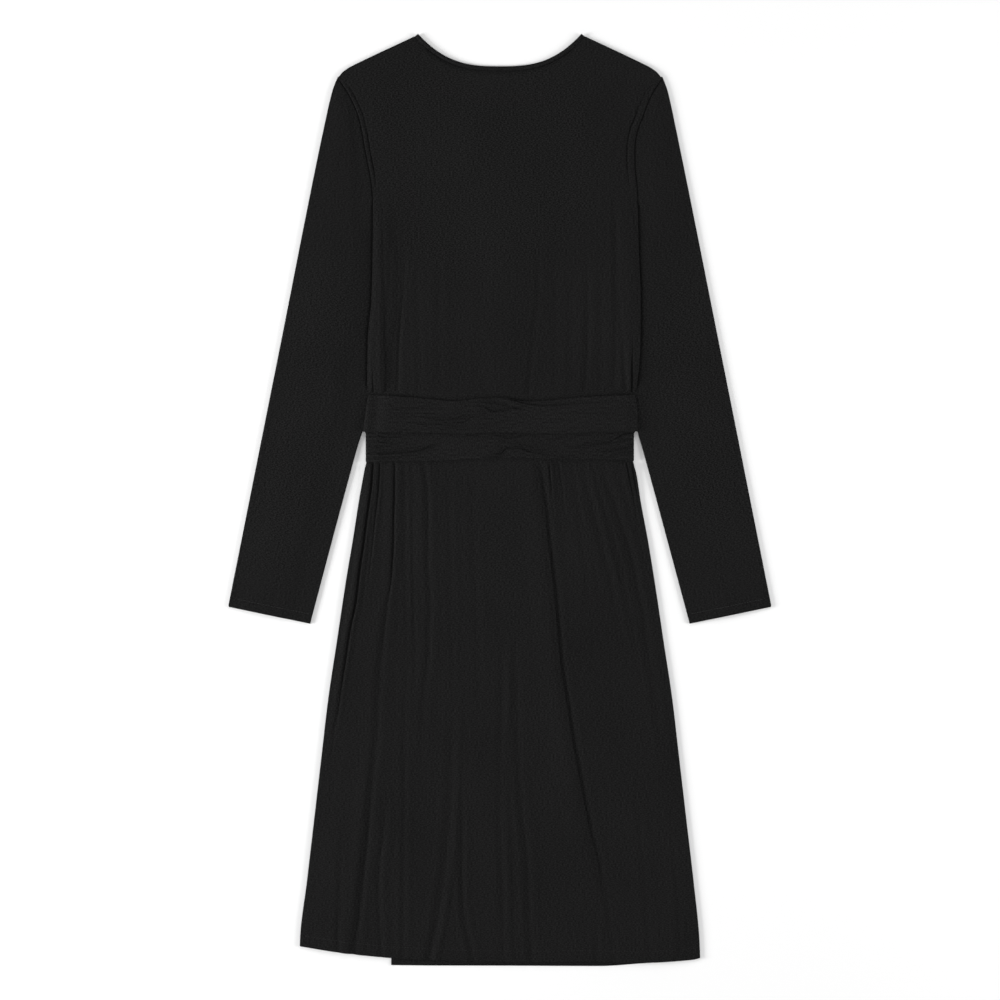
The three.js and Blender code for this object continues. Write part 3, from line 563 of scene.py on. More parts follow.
belt_middle = column(BELT_EDGES, "middle", "x")
belt_bottom = column(BELT_EDGES, "bottom", "x")


def photo_x(pixels):
    """Across the photograph to metres in the frame."""
    return (np.asarray(pixels, float) - PHOTO_CENTRE[0]) * PHOTO_PIXEL


def photo_y(pixels):
    """Down the photograph to metres in the frame."""
    return (PHOTO_CENTRE[1] - np.asarray(pixels, float)) * PHOTO_PIXEL


def named(rows):
    """The rows of a table of creases, each value under its column's name."""
    return [dict(zip(CREASE_COLUMNS, row)) for row in rows]


def roll(offset, high, wide, rise):
    """A roll of cloth beside a groove: it climbs to its height over rise and dies away after."""
    return high * smooth(0, rise, offset) * (1 - smooth(rise, np.maximum(wide, rise + MM), offset))


def crease_height(crease, offset, fade):
    """Height across a crease at a signed offset from its line: a roll on each side, less a groove
    whose depth falls off as a bell curve, all of it scaled by how strong the crease is here."""
    core = crease["core"] * MM
    height = -crease["deep"] * bell(offset, core)
    for way, (high, wide) in ((-1, crease["before"]), (1, crease["after"])):
        height += roll(way * offset, high, wide * MM, ROLL_RISE * core)
    return MM * fade * height


def upright_line(crease):
    """The line of a crease that runs down the cloth, as x over y."""
    return lambda y: through(photo_y(crease["y"]), photo_x(crease["x"]), y)


def sharp_lines(rows):
    """The lines of a table's narrow creases, near which a panel needs more columns."""
    return [upright_line(crease) for crease in named(rows) if crease["core"] < SHARP_CORE]


def upright_creases(rows, x, y):
    """The heights of all the creases in a table that run down the cloth, added up."""
    total = np.zeros_like(x)
    for crease in named(rows):
        places = photo_y(crease["y"])
        fade = through(places, crease["fade"], y) * ((y >= places.min()) & (y <= places.max()))
        total += crease_height(crease, x - upright_line(crease)(y), fade)
    return total


def edge_groove(away, deep):
    """The line pressed into the cloth just beyond the belt's edge: a bell curve around it."""
    return -deep * bell(away - PRESS_BESIDE, PRESS_WIDTH)


def skirt_folds(x, y):
    """Folds of the back skirt, pressed flat where the belt holds them."""
    held = smooth(BELT_LOW_EDGE - 5 * MM, BELT_LOW_EDGE + 4 * MM, y)
    return upright_creases(SKIRT_CREASES, x, y) * (1 - held)


def stitch_dent(away):
    """The shallow line that a row of stitches pulls in, at a distance away from it."""
    return STITCH_DENT * bell(away, STITCH_DENT_WIDTH)


def back_skirt_underside(x, y):
    """Lower face of the back skirt."""
    base = ground(x, y) + STEP * (1 + lift(x, y))
    pressed = edge_groove(belt_bottom(x) - y, SKIRT_PRESS)
    return base + skirt_folds(x, y) - stitch_dent(y - back_hem(x) - HEM_STITCH) + pressed


back_skirt = lay_panel(
    "skirt_back", left_edge, right_edge, back_hem, skirt_top, (324, 140), back_skirt_underside,
    dress_jersey, sharp_lines(SKIRT_CREASES),
)
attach(back_skirt, "root")
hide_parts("back_skirt")


# The back bodice. One panel of jersey from the waist seam to the shoulders, with a soft roll down
# each side seam, folds drawn in by the belt, and a fine welt where the armhole seam turns over.
NECK_X = 89.7 * MM
NECK_TOP = 512.3 * MM
NECK_DIP = 35.7 * MM
NECK_POWER = 2.8
BODICE_CREASES = [
    # the roll down the left side, the sunk strip beside it and the sharp crease along its far edge
    ([384.5, 384.3, 384, 383.5, 383, 382], [398, 361, 310, 243, 215, 180], [1, 0.9, 0.6, 0.4, 0.2, 0],
     1.9, 1.2, (1.5, 11), (0, 5)),
    ([397, 398, 399, 401, 403, 404.5, 405], [398, 369, 342, 315, 294, 260, 225],
     [1, 1, 1, 0.9, 0.65, 0.25, 0], 2.2, 1.4, (0, 6), (0.5, 16)),
    ([391, 391.5, 392, 393], [398, 370, 330, 280], [1, 1, 0.5, 0], 6, 1.5, (0, 12), (0, 12)),
    ([373.4, 373.2, 373], [398, 384, 365], [1, 0.8, 0], 1.1, 1.2, (0.4, 3), (0.8, 5)),
    # the right side
    ([631, 631, 631.5, 632], [398, 371, 350, 315], [1, 0.9, 0.5, 0], 1.2, 1.5, (1.2, 6), (1.0, 5)),
    ([624, 624, 622, 620, 619], [398, 380, 345, 310, 270], [1, 0.9, 0.7, 0.4, 0],
     3.2, 1.49, (0.6, 7), (0.5, 5)),
    ([613, 614.5, 616, 615, 615, 614], [398, 360, 320, 270, 227, 190], [0.5, 0.8, 1, 0.9, 0.8, 0],
     3.84, 1.22, (0.8, 9), (0.5, 7)),
    ([584, 585, 586.6, 586.8, 587, 587], [398, 375, 350, 320, 290, 250], [0.8, 1, 1, 0.9, 0.7, 0],
     3.52, 1.49, (0.5, 12), (0.8, 10)),
    ([600, 601, 601, 600], [398, 350, 300, 250], [0.7, 0.8, 0.7, 0], 3.52, 0.81, (0.4, 8), (0.4, 7)),
    ([570, 571, 571, 571], [398, 350, 310, 260], [0.7, 0.8, 0.6, 0], 4.16, 0.81, (0.4, 10), (0.3, 9)),
    ([556, 556, 555, 554], [398, 350, 300, 230], [0.4, 0.7, 0.7, 0], 4.16, 0.68, (0.3, 9), (0.3, 9)),
    ([528, 529, 533, 538, 539], [398, 380, 340, 295, 240], [1, 0.9, 0.6, 0.7, 0],
     3.52, 1.22, (0.9, 8), (0.4, 12)),
    ([439, 439, 439, 438], [398, 350, 297, 240], [0.4, 0.6, 0.8, 0], 4.8, 0.81, (0.3, 12), (0.4, 14)),
    ([419, 419, 418, 417], [398, 350, 300, 250], [0.7, 0.7, 0.5, 0], 4.16, 0.68, (0.4, 9), (0.3, 9)),
    ([480, 481, 482, 483], [398, 340, 290, 240], [0.5, 0.6, 0.5, 0], 6.4, 0.54, (0.3, 14), (0.3, 14)),
]
LEFT_WELT, RIGHT_WELT = 3.2 * MM, 6.2 * MM
WELT_RISE, WELT_FALL = (330 * MM, 372 * MM), (446 * MM, 463 * MM)
WELT_HIGH, WELT_GROOVE, WELT_GROOVE_WIDTH = 0.8 * MM, 1.6 * MM, 0.95 * MM
NECK_GROOVE = {"deep": 2.0 * MM, "wide": 1.2 * MM}
NECK_SWELL = {"high": 0.7 * MM, "wide": 4 * MM, "below": 7 * MM}
NECK_FAINT = (NECK_X - 13 * MM, NECK_X - 2 * MM)
ROLL_ROUND, ROLL_FALL, ROLL_FADE = 6 * MM, (11 * MM, 26 * MM), (285 * MM, 350 * MM)
FOLDS_FREE = (112 * MM, 121 * MM)
LAP_RISE = (96 * MM, 106 * MM)
SEAM_LAP = 0.9 * MM


def neck_edge(x):
    """Height of the back neck: a dip whose sides rise with a power of the distance from the middle."""
    return NECK_TOP - NECK_DIP + NECK_DIP * (np.abs(x) / NECK_X) ** NECK_POWER


def neck_normal(x):
    """Inward unit normal of the back neck's edge at x."""
    slope = np.sign(x) * NECK_POWER * NECK_DIP / NECK_X * (np.abs(x) / NECK_X) ** (NECK_POWER - 1)
    length = np.hypot(1.0, slope)
    return slope / length, -1.0 / length


def back_head(x):
    """Top edge of the back bodice: the shoulder seams, and the line that lies under the binding."""
    feet = np.linspace(-NECK_X, NECK_X, 400)
    across, up = neck_normal(feet)
    line_x = feet + across * (BINDING - SEAM_LAP)
    line_y = neck_edge(feet) + up * (BINDING - SEAM_LAP)
    return np.where(np.abs(x) < line_x[-1], np.interp(x, line_x, line_y), shoulder(x))


def armhole_welt(x, y):
    """The seam turned towards the bodice: a low bell curve along the middle of the welt, and a
    narrow one sunk just inside it."""
    along = smooth(*WELT_RISE, y) * (1 - smooth(*WELT_FALL, y))
    welt = np.where(x < 0, LEFT_WELT, RIGHT_WELT)
    inward = side_distance(x, y)
    turned = WELT_HIGH * bell(inward / welt - 0.5, 0.36)
    return along * (turned - WELT_GROOVE * bell(inward - 1.15 * welt, WELT_GROOVE_WIDTH))


def neck_seam(x, y):
    """The line where the binding is sewn on: the cloth sinks in a narrow bell curve beside it, and
    swells a little in a wider one below. Towards the neck points it grows faint."""
    near = (neck_edge(x) - y) * -neck_normal(x)[1] - BINDING
    groove = NECK_GROOVE["deep"] * bell(near, NECK_GROOVE["wide"])
    swell = NECK_SWELL["high"] * bell(near - NECK_SWELL["below"], NECK_SWELL["wide"])
    strength = 1 - 0.7 * smooth(*NECK_FAINT, np.abs(x))
    return (swell - groove) * strength * (np.abs(x) < NECK_X + 4 * MM)


def side_roll(x, y):
    """Height of the soft roll down each side, where the bodice lies on the sleeve's turned-in edge:
    a quarter circle at the side edge and a gentle fall further in."""
    inward = side_distance(x, y)
    along = ramp(*SLEEVE_RISE, y) * (1 - smooth(*ROLL_FADE, y))
    return 2 * STEP * along * quarter_round(inward / ROLL_ROUND) * (1 - smooth(*ROLL_FALL, inward))


def back_bodice_underside(x, y):
    """Lower face of the back bodice, its folds pressed flat where the belt holds them."""
    base = np.maximum(STEP * over_belt(y), side_roll(x, y)) + STEP * (1 + lift(x, y))
    folds = smooth(*FOLDS_FREE, y) * upright_creases(BODICE_CREASES, x, y)
    pressed = edge_groove(y - belt_top(x), BODICE_PRESS)
    return base + (folds + pressed) + armhole_welt(x, y) + neck_seam(x, y)


def seam_edge(edge, outward):
    """The side edge of the back bodice, moved out over the sleeve's seam above the belt."""
    return lambda y: edge(y) + outward * SEAM_LAP * smooth(*LAP_RISE, y)


back_bodice = lay_panel(
    "bodice_back", seam_edge(left_edge, -1), seam_edge(right_edge, 1), bodice_foot, back_head,
    (260, 178), back_bodice_underside, dress_jersey, sharp_lines(BODICE_CREASES),
)
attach(back_bodice, "root")
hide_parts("back_bodice")


# The neck's binding. A narrow strip of the same jersey is folded over the back neck's edge and
# stitched down, so that it stands a little proud with a seam line along its lower side.
BINDING_RIM = 0.14
BINDING_SWELL = 0.7 * MM

binding_feet = np.linspace(-NECK_X, NECK_X, 240)
binding_shares = spread(8, BINDING_RIM)
across, up = neck_normal(binding_feet)
depth = binding_shares[:, None] * BINDING
binding_x = binding_feet + across * (BINDING - depth)
binding_y = neck_edge(binding_feet) + up * (BINDING - depth)
plump = rim_factor(binding_shares, BINDING_RIM)[:, None]
swell = BINDING_SWELL * np.sin(np.pi * binding_shares)[:, None]
binding_middle = STEP + WALL / 2 + 0 * binding_x
neck_binding = add_cloth(
    "neck_binding_strip",
    np.stack([binding_x, binding_y, binding_middle + plump * WALL / 2 + swell], -1),
    np.stack([binding_x, binding_y, binding_middle - plump * WALL / 2], -1),
    np.stack([depth + 0 * binding_x, binding_feet + 0 * depth], -1),
    dress_jersey,
)
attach(neck_binding, "root")
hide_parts("neck_binding_back")


# The sleeves. Each is one piece of jersey folded along its outer edge, with its seam on the inner
# edge. It lies flat beside the dress, turned in under the bodice between the belt and the underarm.
SLEEVE_OUTER = {
    "y": [-115.5, 156.7, 429, 440, 452, 462, 466],
    "left": [-298.2, -243.9, -189.1, -186.5, -183.3, -179.4, -177.6],
    "right": [298.4, 244.2, 189.4, 187, 183.9, 180.1, 178.4],
}
SLEEVE_INNER = {
    "y": [-135, -33, 27.5, 60, 74.8, 92.4, 104.5, 111, 118],
    "left": [-208.2, -181.2, -164.9, -156, -151.3, -148.4, -146.9, -145.8, -144.1],
    "right": [208.6, 181.2, 164.9, 156, 152.1, 151.8, 151.4, 150, 148.2],
}
SLEEVE_TOP = 465 * MM
SLEEVE_AT_BELT = 118 * MM
CUFF_INNER = -136 * MM
CUFF_RISE = 18.6 * MM
BESIDE = 0.5 * MM
CUFF_STITCH = 10.5 * MM
SLEEVE_CROWN = 1.8 * MM
SLEEVE_ROWS = 300
UNDER_BELT, UNDER_BELT_FALL = 3.5 * MM, (112 * MM, 124 * MM)
UNDERARM = 330 * MM
SEAM_DIPS = [{"deep": 1.2 * MM, "wide": 2 * MM}, {"deep": 0.6 * MM, "wide": 6 * MM}]
THIN_EDGE = 0.35
# columns round a sleeve: close together out to the bodice's edge, wider beyond it, round the fold
# and back to the seam
top_shares = np.concatenate([[0, 0.004], np.linspace(0.012, 0.27, 36), np.linspace(0.29, 1, 32)])
fold_angles = np.linspace(np.pi / 2, -np.pi / 2, 10)[1:-1]
under_shares = np.linspace(1, 0, 12)


def sleeve_edges(side, dress_edge):
    """Inner and outer points of the sleeve for a row of heights of its inner edge."""
    outward = -1 if side == "left" else 1
    inner_y = np.linspace(CUFF_INNER, SLEEVE_TOP, SLEEVE_ROWS)
    beside = dress_edge(inner_y) + outward * (BESIDE - tuck_depth(inner_y))
    below = column(SLEEVE_INNER, side)(inner_y)
    share = smooth(SLEEVE_AT_BELT - 4 * MM, SLEEVE_AT_BELT + 4 * MM, inner_y)
    under_belt = smooth(BELT_STEP, WAIST, inner_y) * (1 - smooth(*UNDER_BELT_FALL, inner_y))
    inner_x = below * (1 - share) + beside * share - outward * UNDER_BELT * under_belt
    outer_y = inner_y + CUFF_RISE * ramp(SLEEVE_TOP, UNDERARM, inner_y)
    outer_x = column(SLEEVE_OUTER, side)(outer_y)
    return np.stack([inner_x, inner_y], -1), np.stack([outer_x, outer_y], -1)


def sleeve_top_height(share, y):
    """Swell of the sleeve's upper layer at a share of the way out: none over the tucked edge, most
    past the middle, and none at the fold."""
    crown = SLEEVE_CROWN * (1 - smooth(CHEST, SLEEVE_TOP, y))
    return crown * smooth(0.16, 0.42, share) * (1 - smooth(0.6, 1.0, share))


def seam_dip(away, y):
    """How far the sleeve sinks beside the bodice: a narrow bell curve of the distance away from its
    edge, and a wider, lower one, above the belt."""
    shape = sum(dip["deep"] * bell(away, dip["wide"]) for dip in SEAM_DIPS)
    return shape * smooth(SLEEVE_AT_BELT, SLEEVE_AT_BELT + 14 * MM, y)


for side, dress_edge in (("left", left_edge), ("right", right_edge)):
    inner, outer = sleeve_edges(side, dress_edge)
    reach = outer - inner
    width = np.linalg.norm(reach, axis=1, keepdims=True)
    out = reach / width
    radius = STEP / 2
    straight = width - radius - WALL / 2
    y_rows = inner[:, 1:2]
    distance = np.concatenate([
        straight * top_shares[None, :],
        straight + radius * np.cos(fold_angles)[None, :],
        straight * under_shares[None, :],
    ], 1)
    middle = radius + WALL / 2
    height = np.concatenate([
        middle + radius + sleeve_top_height(top_shares[None, :], y_rows),
        middle + radius * np.sin(fold_angles)[None, :] + 0 * y_rows,
        middle - radius + 0 * (under_shares[None, :] + y_rows),
    ], 1)
    top = slice(0, len(top_shares))
    top_x = inner[:, :1] + out[:, :1] * distance[:, top]
    top_y = y_rows + out[:, 1:] * distance[:, top]
    cuff_dent = stitch_dent(y_rows - CUFF_INNER - CUFF_STITCH)
    height[:, top] -= cuff_dent + seam_dip(np.abs(top_x - dress_edge(top_y)), top_y)
    slope_along = np.gradient(height, axis=1)
    run_along = np.gradient(distance, axis=1)
    size = np.hypot(slope_along, run_along)
    away, lifted = -slope_along / size, run_along / size
    flat_places = np.stack([np.cumsum(size, axis=1), y_rows + 0 * size], -1)
    halves = np.full(height.shape, WALL / 2)
    for rim in (np.s_[0, :], np.s_[:, 0], np.s_[:, -1]):
        halves[rim] *= THIN_EDGE
    faces = []
    for way in (1, -1):
        reached = distance + way * halves * away
        level = np.maximum(height + way * halves * lifted, 0)
        spot = inner[:, None, :] + out[:, None, :] * reached[:, :, None]
        faces.append(np.concatenate([spot, level[:, :, None]], -1))
    order = slice(None) if side == "left" else slice(None, None, -1)
    sleeve = add_cloth(
        f"sleeve_{side}_cloth", faces[0][order], faces[1][order], flat_places[order], dress_jersey
    )
    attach(sleeve, "root")
    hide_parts(f"sleeve_{side}")


# The belt across the back. A long sash of jersey goes round the waist twice and shows as two
# stretches, the upper over the lower. The pull of the tie draws both into soft uneven wrinkles.
BELT_HIDDEN_TOP = 84 * MM
ON_BACK = 4 * STEP
BELT_TURN = 8 * MM
BELT_TURN_Z = 3.8 * MM
BELT_HALF = 145 * MM
BELT_RIM, BELT_END_THIN = 0.022, 0.3
STAND, BEND, RUN = 4, 16, 260
UPPER_WRINKLES = [
    ([470, 484, 501.5, 511, 522.5, 532, 543.6, 560.8, 576, 600, 625],
     [398.5, 398, 397.8, 400, 403, 405, 405.6, 404.8, 403.5, 402, 401],
     [0, 0.3, 0.8, 1, 1, 1, 1, 0.9, 0.6, 0.3, 0], 0.9, 1.62, (1.2, 7), (1.05, 4)),
    ([462, 484, 492, 503, 519, 535], [404, 407, 411.3, 410.5, 408, 407], [0, 0.7, 1, 1, 0.8, 0],
     1.2, 1.35, (0.6, 6), (1.65, 6)),
    ([405, 430.7, 442, 455.6, 470, 492], [414, 417.6, 419.5, 418.6, 415, 411.5], [0, 0.9, 1, 0.9, 0.6, 0],
     1.2, 1.22, (0.75, 4), (0.9, 6)),
    ([395, 419, 432.7, 446, 461, 470, 480], [421, 423.3, 424, 424.3, 423.3, 419, 414],
     [0, 0.8, 1, 0.9, 0.9, 0.6, 0], 1.2, 1.22, (0.6, 5), (0.75, 3.5)),
    ([385, 410, 430, 452], [405, 406, 408, 407], [0, 0.6, 0.8, 0], 2.2, 0.81, (0.6, 6), (0.6, 5)),
    ([505, 530, 560, 590], [421, 419, 418, 419], [0, 0.7, 0.7, 0], 2.4, 0.68, (0.45, 7), (0.45, 8)),
    ([545, 580, 610, 632], [411, 412, 411, 409], [0, 0.7, 0.8, 0.5], 2.4, 0.68, (0.6, 8), (0.45, 6)),
    ([470, 490, 505, 525], [427, 425, 426, 428], [0, 0.7, 0.7, 0], 1.6, 0.68, (0.45, 4), (0.75, 6)),
    ([380, 405, 425, 445], [411, 412.5, 413, 411], [0, 0.8, 0.8, 0], 1.5, 0.7, (0.5, 4), (0.6, 5)),
    ([396, 420, 450, 478, 500], [428.5, 428, 429, 428, 427], [0, 0.7, 0.9, 0.8, 0],
     1.3, 0.7, (0.6, 4), (0.4, 4)),
    ([466, 480, 500, 520, 540], [401.5, 402, 404, 409, 411], [0, 0.8, 1, 0.8, 0],
     1.2, 1.0, (0.8, 4), (0.6, 4)),
]
UPPER_DIPS = [
    # where the band turns down at its ends, and two soft swells beside them
    ([373, 375, 377], [434, 415, 392], [0.8, 1, 1], 8, 2.4, (0.9, 16), (1.2, 52)),
    ([636, 636, 636.5], [434, 415, 392], [0.8, 1, 1], 7, 1.8, (1.0, 30), (0.2, 4)),
    ([462, 466, 470], [434, 415, 396], [0.5, 1, 0.8], 9, 0.6, (0.3, 30), (0.5, 32)),
]
LOWER_DIPS = [
    ([370, 371], [464, 428], [1, 1], 4, 0.6, (0.5, 8), (0.5, 24)),
    ([500, 505, 508], [464, 448, 430], [0.8, 1, 0.6], 6, 0.9, (0.9, 34), (0.4, 22)),
    ([631, 630], [464, 428], [1, 1], 4, 0.7, (0.7, 20), (0.5, 8)),
]
LOWER_WRINKLES = [
    ([364, 371.5, 381, 398, 411.6, 421, 432.7, 446], [453.5, 453, 453.6, 452.6, 451.5, 450, 446.3, 442],
     [0.6, 0.8, 1, 1, 1, 0.9, 0.6, 0], 1.1, 2.03, (1.2, 6), (1.5, 5)),
    ([364, 378, 390, 402, 420], [440, 441, 443, 442.5, 440], [0.6, 0.9, 0.9, 0.6, 0],
     1.0, 1.08, (1.05, 4), (0.6, 3)),
    ([364, 375, 388, 405], [446, 446.5, 446, 443], [0.7, 1, 0.8, 0], 1.0, 1.08, (1.05, 4), (0.75, 3)),
    ([364, 376, 392, 400], [435.5, 436, 437, 436], [0.4, 0.8, 1, 0.2], 1.0, 1.08, (0.75, 3), (0.45, 3)),
    ([490, 501.5, 511, 518.7, 530], [434.5, 435.8, 437.7, 435.4, 434], [0, 0.9, 1, 0.9, 0],
     1.1, 1.49, (0.9, 5), (0.3, 3)),
    ([484, 492, 501.5, 507, 518.7, 528, 545, 560], [458, 456.8, 453, 448, 447.6, 451, 454, 455],
     [0.4, 0.8, 0.9, 1, 1, 0.9, 0.6, 0], 1.2, 1.49, (1.05, 5), (0.9, 5)),
    ([520, 535, 555, 575], [442, 440, 438, 437], [0, 0.8, 0.8, 0], 2.2, 1.08, (0.6, 6), (0.45, 4)),
    ([560, 578, 589.4, 606.6, 616, 626, 636], [451, 447, 444.4, 442.5, 441.5, 440, 438],
     [0, 0.8, 1, 1, 0.9, 0.8, 0.6], 1.2, 1.35, (1.05, 5), (0.75, 4)),
    ([606, 618, 624, 636], [443, 437.7, 434, 431], [0, 1, 1, 0.5], 1.1, 1.49, (1.05, 4), (0.6, 3)),
    ([590, 606, 620, 636], [452, 450.5, 449, 446], [0, 0.8, 1, 0.8], 1.2, 1.22, (0.9, 4), (0.75, 4)),
    ([430, 450, 475, 492], [455, 453.5, 452, 450], [0, 0.6, 0.6, 0], 1.8, 0.68, (0.6, 5), (0.45, 5)),
    ([436, 455, 470, 485], [440, 441, 440, 438], [0, 0.6, 0.6, 0], 1.8, 0.68, (0.6, 6), (0.45, 4)),
    ([366, 376, 388, 398], [431, 434, 440, 446], [0.6, 1, 0.8, 0], 1.1, 0.9, (0.6, 4), (0.6, 4)),
    ([366, 380, 396, 412, 430], [459.5, 459, 458, 457, 457], [0.5, 0.9, 1, 0.7, 0],
     1.1, 0.8, (0.6, 4), (0.5, 4)),
    ([536, 552, 570, 590], [459, 457, 456.5, 457], [0, 0.9, 0.9, 0], 1.4, 0.9, (0.6, 4), (0.5, 4)),
    ([604, 614, 624, 634], [459, 455, 452.5, 452], [0, 0.9, 1, 0.6], 1.1, 1.0, (0.7, 4), (0.6, 4)),
    ([498, 512, 530, 548, 566], [441, 442.5, 446, 448, 447], [0, 0.9, 1, 0.7, 0],
     1.3, 0.9, (0.6, 5), (0.6, 5)),
]


def level_creases(rows, x, y):
    """The heights of all the creases in a table that run along the belt, added up."""
    total = np.zeros_like(x)
    for crease in named(rows):
        places = photo_x(crease["x"])
        line = through(places, photo_y(crease["y"]), x)
        fade = through(places, crease["fade"], x) * ((x >= places[0]) & (x <= places[-1]))
        total += crease_height(crease, y - line, fade)
    return total


def belt_stretch(name, left_end, right_end, top, bottom, level, wrinkles, dips, turn, rows):
    """A band whose rows run from its bottom to its top line. Each row stands up at the left end,
    bends in a quarter ellipse onto the dress, crosses it at level(y), and bends down again."""
    shares = spread(rows, BELT_RIM)[:, None]
    height_at = lambda x: bottom(x) * (1 - shares) + top(x) * shares
    left = left_end(height_at(np.array([[-BELT_HALF]]))) + WALL / 2
    right = right_end(height_at(np.array([[BELT_HALF]]))) - WALL / 2
    rise = np.linspace(0, 1, STAND + 1)[None, :-1]
    angle = np.linspace(0, np.pi / 2, BEND)[None, :]
    across = np.linspace(0, 1, RUN + 2)[None, 1:-1]
    corner_left, corner_right = left + turn, right - turn
    bend_left = corner_left - turn * np.cos(angle)
    bend_right = (corner_right + turn * np.cos(angle))[:, ::-1]
    middle = corner_left + (corner_right - corner_left) * across
    x = np.concatenate([left + 0 * rise, bend_left, middle, bend_right, right + 0 * rise], 1)
    y = height_at(x)
    level_z = level(y) + WALL / 2 + level_creases(wrinkles, x, y) + upright_creases(dips, x, y)
    first, run, last = np.split(level_z[:, STAND:-STAND], [BEND, BEND + RUN], axis=1)
    stand = STEP + (BELT_TURN_Z - STEP) * rise + 0 * left
    bent = BELT_TURN_Z + (first - BELT_TURN_Z) * np.sin(angle)
    bent_back = BELT_TURN_Z + (last - BELT_TURN_Z) * np.sin(angle)[:, ::-1]
    z = np.concatenate([stand, bent, run, bent_back, stand[:, ::-1]], 1)
    along, climb = np.gradient(x, axis=1), np.gradient(z, axis=1)
    size = np.hypot(along, climb)
    half = WALL / 2 * rim_factor(shares, BELT_RIM) + 0 * x
    half[:, [0, -1]] *= BELT_END_THIN
    away, lifted = -climb / size * half, along / size * half
    upper = np.stack([x + away, y, z + lifted], -1)
    lower = np.stack([x - away, y, z - lifted], -1)
    flat_places = np.stack([y + 0 * x, np.cumsum(size, axis=1)], -1)
    piece = add_cloth(name, upper, lower, flat_places, belt_jersey)
    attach(piece, "root")
    return piece


def lower_level(y):
    """The lower stretch lies on the back, and is pressed down where it passes under the upper."""
    return ON_BACK - 1.5 * MM * smooth(65 * MM, 73 * MM, y)


def upper_level(y):
    """The upper stretch lies on the lower one, and sinks a layer to the back above its hidden edge."""
    return ON_BACK + STEP * (1 - smooth(BELT_HIDDEN_TOP + 2 * MM, BELT_HIDDEN_TOP + 14 * MM, y))


lower_belt = belt_stretch(
    "belt_lower_stretch", lambda y: BELT_LOWER_LEFT + 0 * y, lambda y: BELT_LOWER_RIGHT + 0 * y,
    lambda x: BELT_HIDDEN_TOP + 0 * x, belt_bottom, lower_level, LOWER_WRINKLES, LOWER_DIPS,
    BELT_TURN, 44,
)
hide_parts("belt_back_lower")
upper_belt = belt_stretch(
    "belt_upper_stretch", upper_left, upper_right, belt_top, belt_middle, upper_level,
    UPPER_WRINKLES, UPPER_DIPS, BELT_TURN + 1 * MM, 48,
)
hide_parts("belt_back_upper")


# The stitching. Hem and cuffs are turned up and sewn through with one row of black thread, and the
# stitches lie half sunk in the cloth a finger's width above the edge.
STITCH_LENGTH = 2.3 * MM
STITCH_PITCH = 3.1 * MM
STITCH_RADIUS = 0.14 * MM
STITCH_SIDES = 6
STITCH_SUNK = 0.15 * MM
HEM_SIDE_Y = -480 * MM
THREAD_COLOUR = (0.006, 0.006, 0.006, 1.0)

thread, thread_shader, thread_tree = new_material("thread")
twist = thread_tree.nodes.new("ShaderNodeTexWave")
set_inputs(twist, {"Scale": 900.0, "Distortion": 0.5})
place = thread_tree.nodes.new("ShaderNodeTexCoord")
thread_tree.links.new(place.outputs["Object"], twist.inputs["Vector"])
twist_bump = thread_tree.nodes.new("ShaderNodeBump")
set_inputs(twist_bump, {"Strength": 0.4, "Distance": 0.08 * MM})
thread_tree.links.new(twist.outputs["Fac"], twist_bump.inputs["Height"])
thread_tree.links.new(twist_bump.outputs["Normal"], thread_shader.inputs["Normal"])
set_inputs(thread_shader, {"Base Color": THREAD_COLOUR, "Roughness": 0.5})


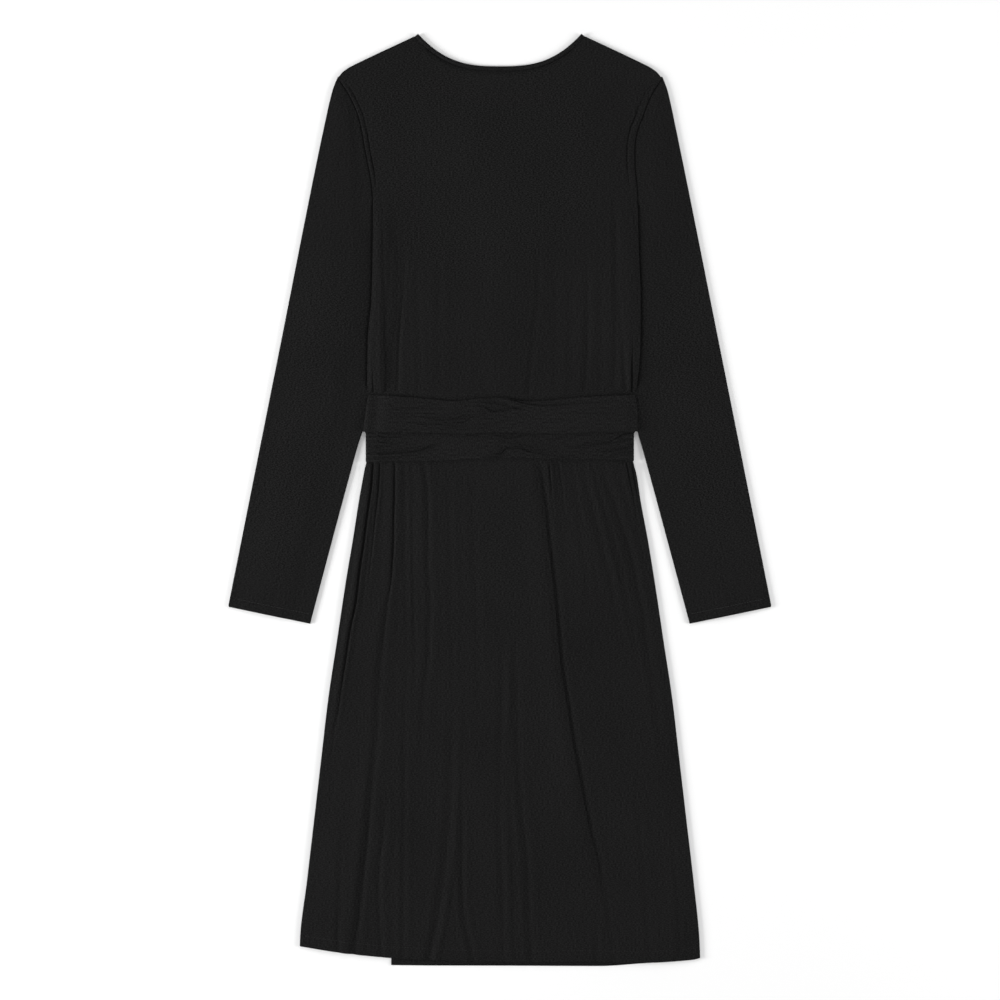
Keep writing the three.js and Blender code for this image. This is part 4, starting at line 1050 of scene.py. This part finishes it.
def sew(name, line):
    """A row of stitches along a line of points: each is a spindle with a few flat sides, thick in its
    middle and thin at both ends, and they follow one another at the pitch."""
    steps = np.linalg.norm(np.diff(line, axis=0), axis=1)
    along = np.concatenate([[0.0], np.cumsum(steps)])
    starts = np.arange(0.5 * STITCH_PITCH, along[-1] - STITCH_LENGTH, STITCH_PITCH)
    shares = np.array([0.0, 0.2, 0.5, 0.8, 1.0])
    thick = np.array([0.25, 0.85, 1.0, 0.85, 0.25]) * STITCH_RADIUS
    at = starts[:, None] + shares[None, :] * STITCH_LENGTH
    centre = np.stack([np.interp(at, along, line[:, k]) for k in range(3)], -1)
    way = centre[:, -1] - centre[:, 0]
    way /= np.linalg.norm(way, axis=1, keepdims=True)
    aside = np.stack([-way[:, 1], way[:, 0], 0 * way[:, 0]], -1)
    angles = np.arange(STITCH_SIDES)[None, :, None] * 2 * np.pi / STITCH_SIDES
    ring = aside[:, None, :] * np.cos(angles) + np.array([0, 0, 1.0]) * np.sin(angles)
    points = centre[:, :, None, :] + ring[:, None, :, :] * thick[None, :, None, None]
    count, stations, sides = points.shape[:3]
    index = np.arange(count * stations * sides).reshape(count, stations, sides)
    after = np.roll(index, -1, axis=2)
    tube = np.stack([index[:, :-1], after[:, :-1], after[:, 1:], index[:, 1:]], -1).reshape(-1, 4)
    caps = np.concatenate([index[:, 0, ::-1], index[:, -1, :]])
    mesh = bpy.data.meshes.new(name)
    mesh.from_pydata(points.reshape(-1, 3).tolist(), [], tube.tolist() + caps.tolist())
    mesh.polygons.foreach_set("use_smooth", np.ones(len(mesh.polygons), bool))
    piece = place_mesh(mesh, thread)
    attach(piece, "root")


hem_x = np.linspace(left_edge(HEM_SIDE_Y) + 4 * MM, right_edge(HEM_SIDE_Y) - 4 * MM, 400)
hem_y = back_hem(hem_x) + HEM_STITCH
hem_z = back_skirt_underside(hem_x, hem_y) + WALL + STITCH_DENT - STITCH_SUNK
sew("hem_stitches", np.stack([hem_x, hem_y, hem_z], -1))
for side, dress_edge in (("left", left_edge), ("right", right_edge)):
    inner, outer = sleeve_edges(side, dress_edge)
    row = int(np.argmin(np.abs(inner[:, 1] - CUFF_INNER - CUFF_STITCH)))
    shares = np.linspace(0.03, 0.97, 60)[:, None]
    spots = inner[row] * (1 - shares) + outer[row] * shares
    rise = 2 * STEP - GAP + sleeve_top_height(shares, inner[row, 1])
    sew(f"cuff_stitches_{side}", np.concatenate([spots, rise - STITCH_SUNK], 1))
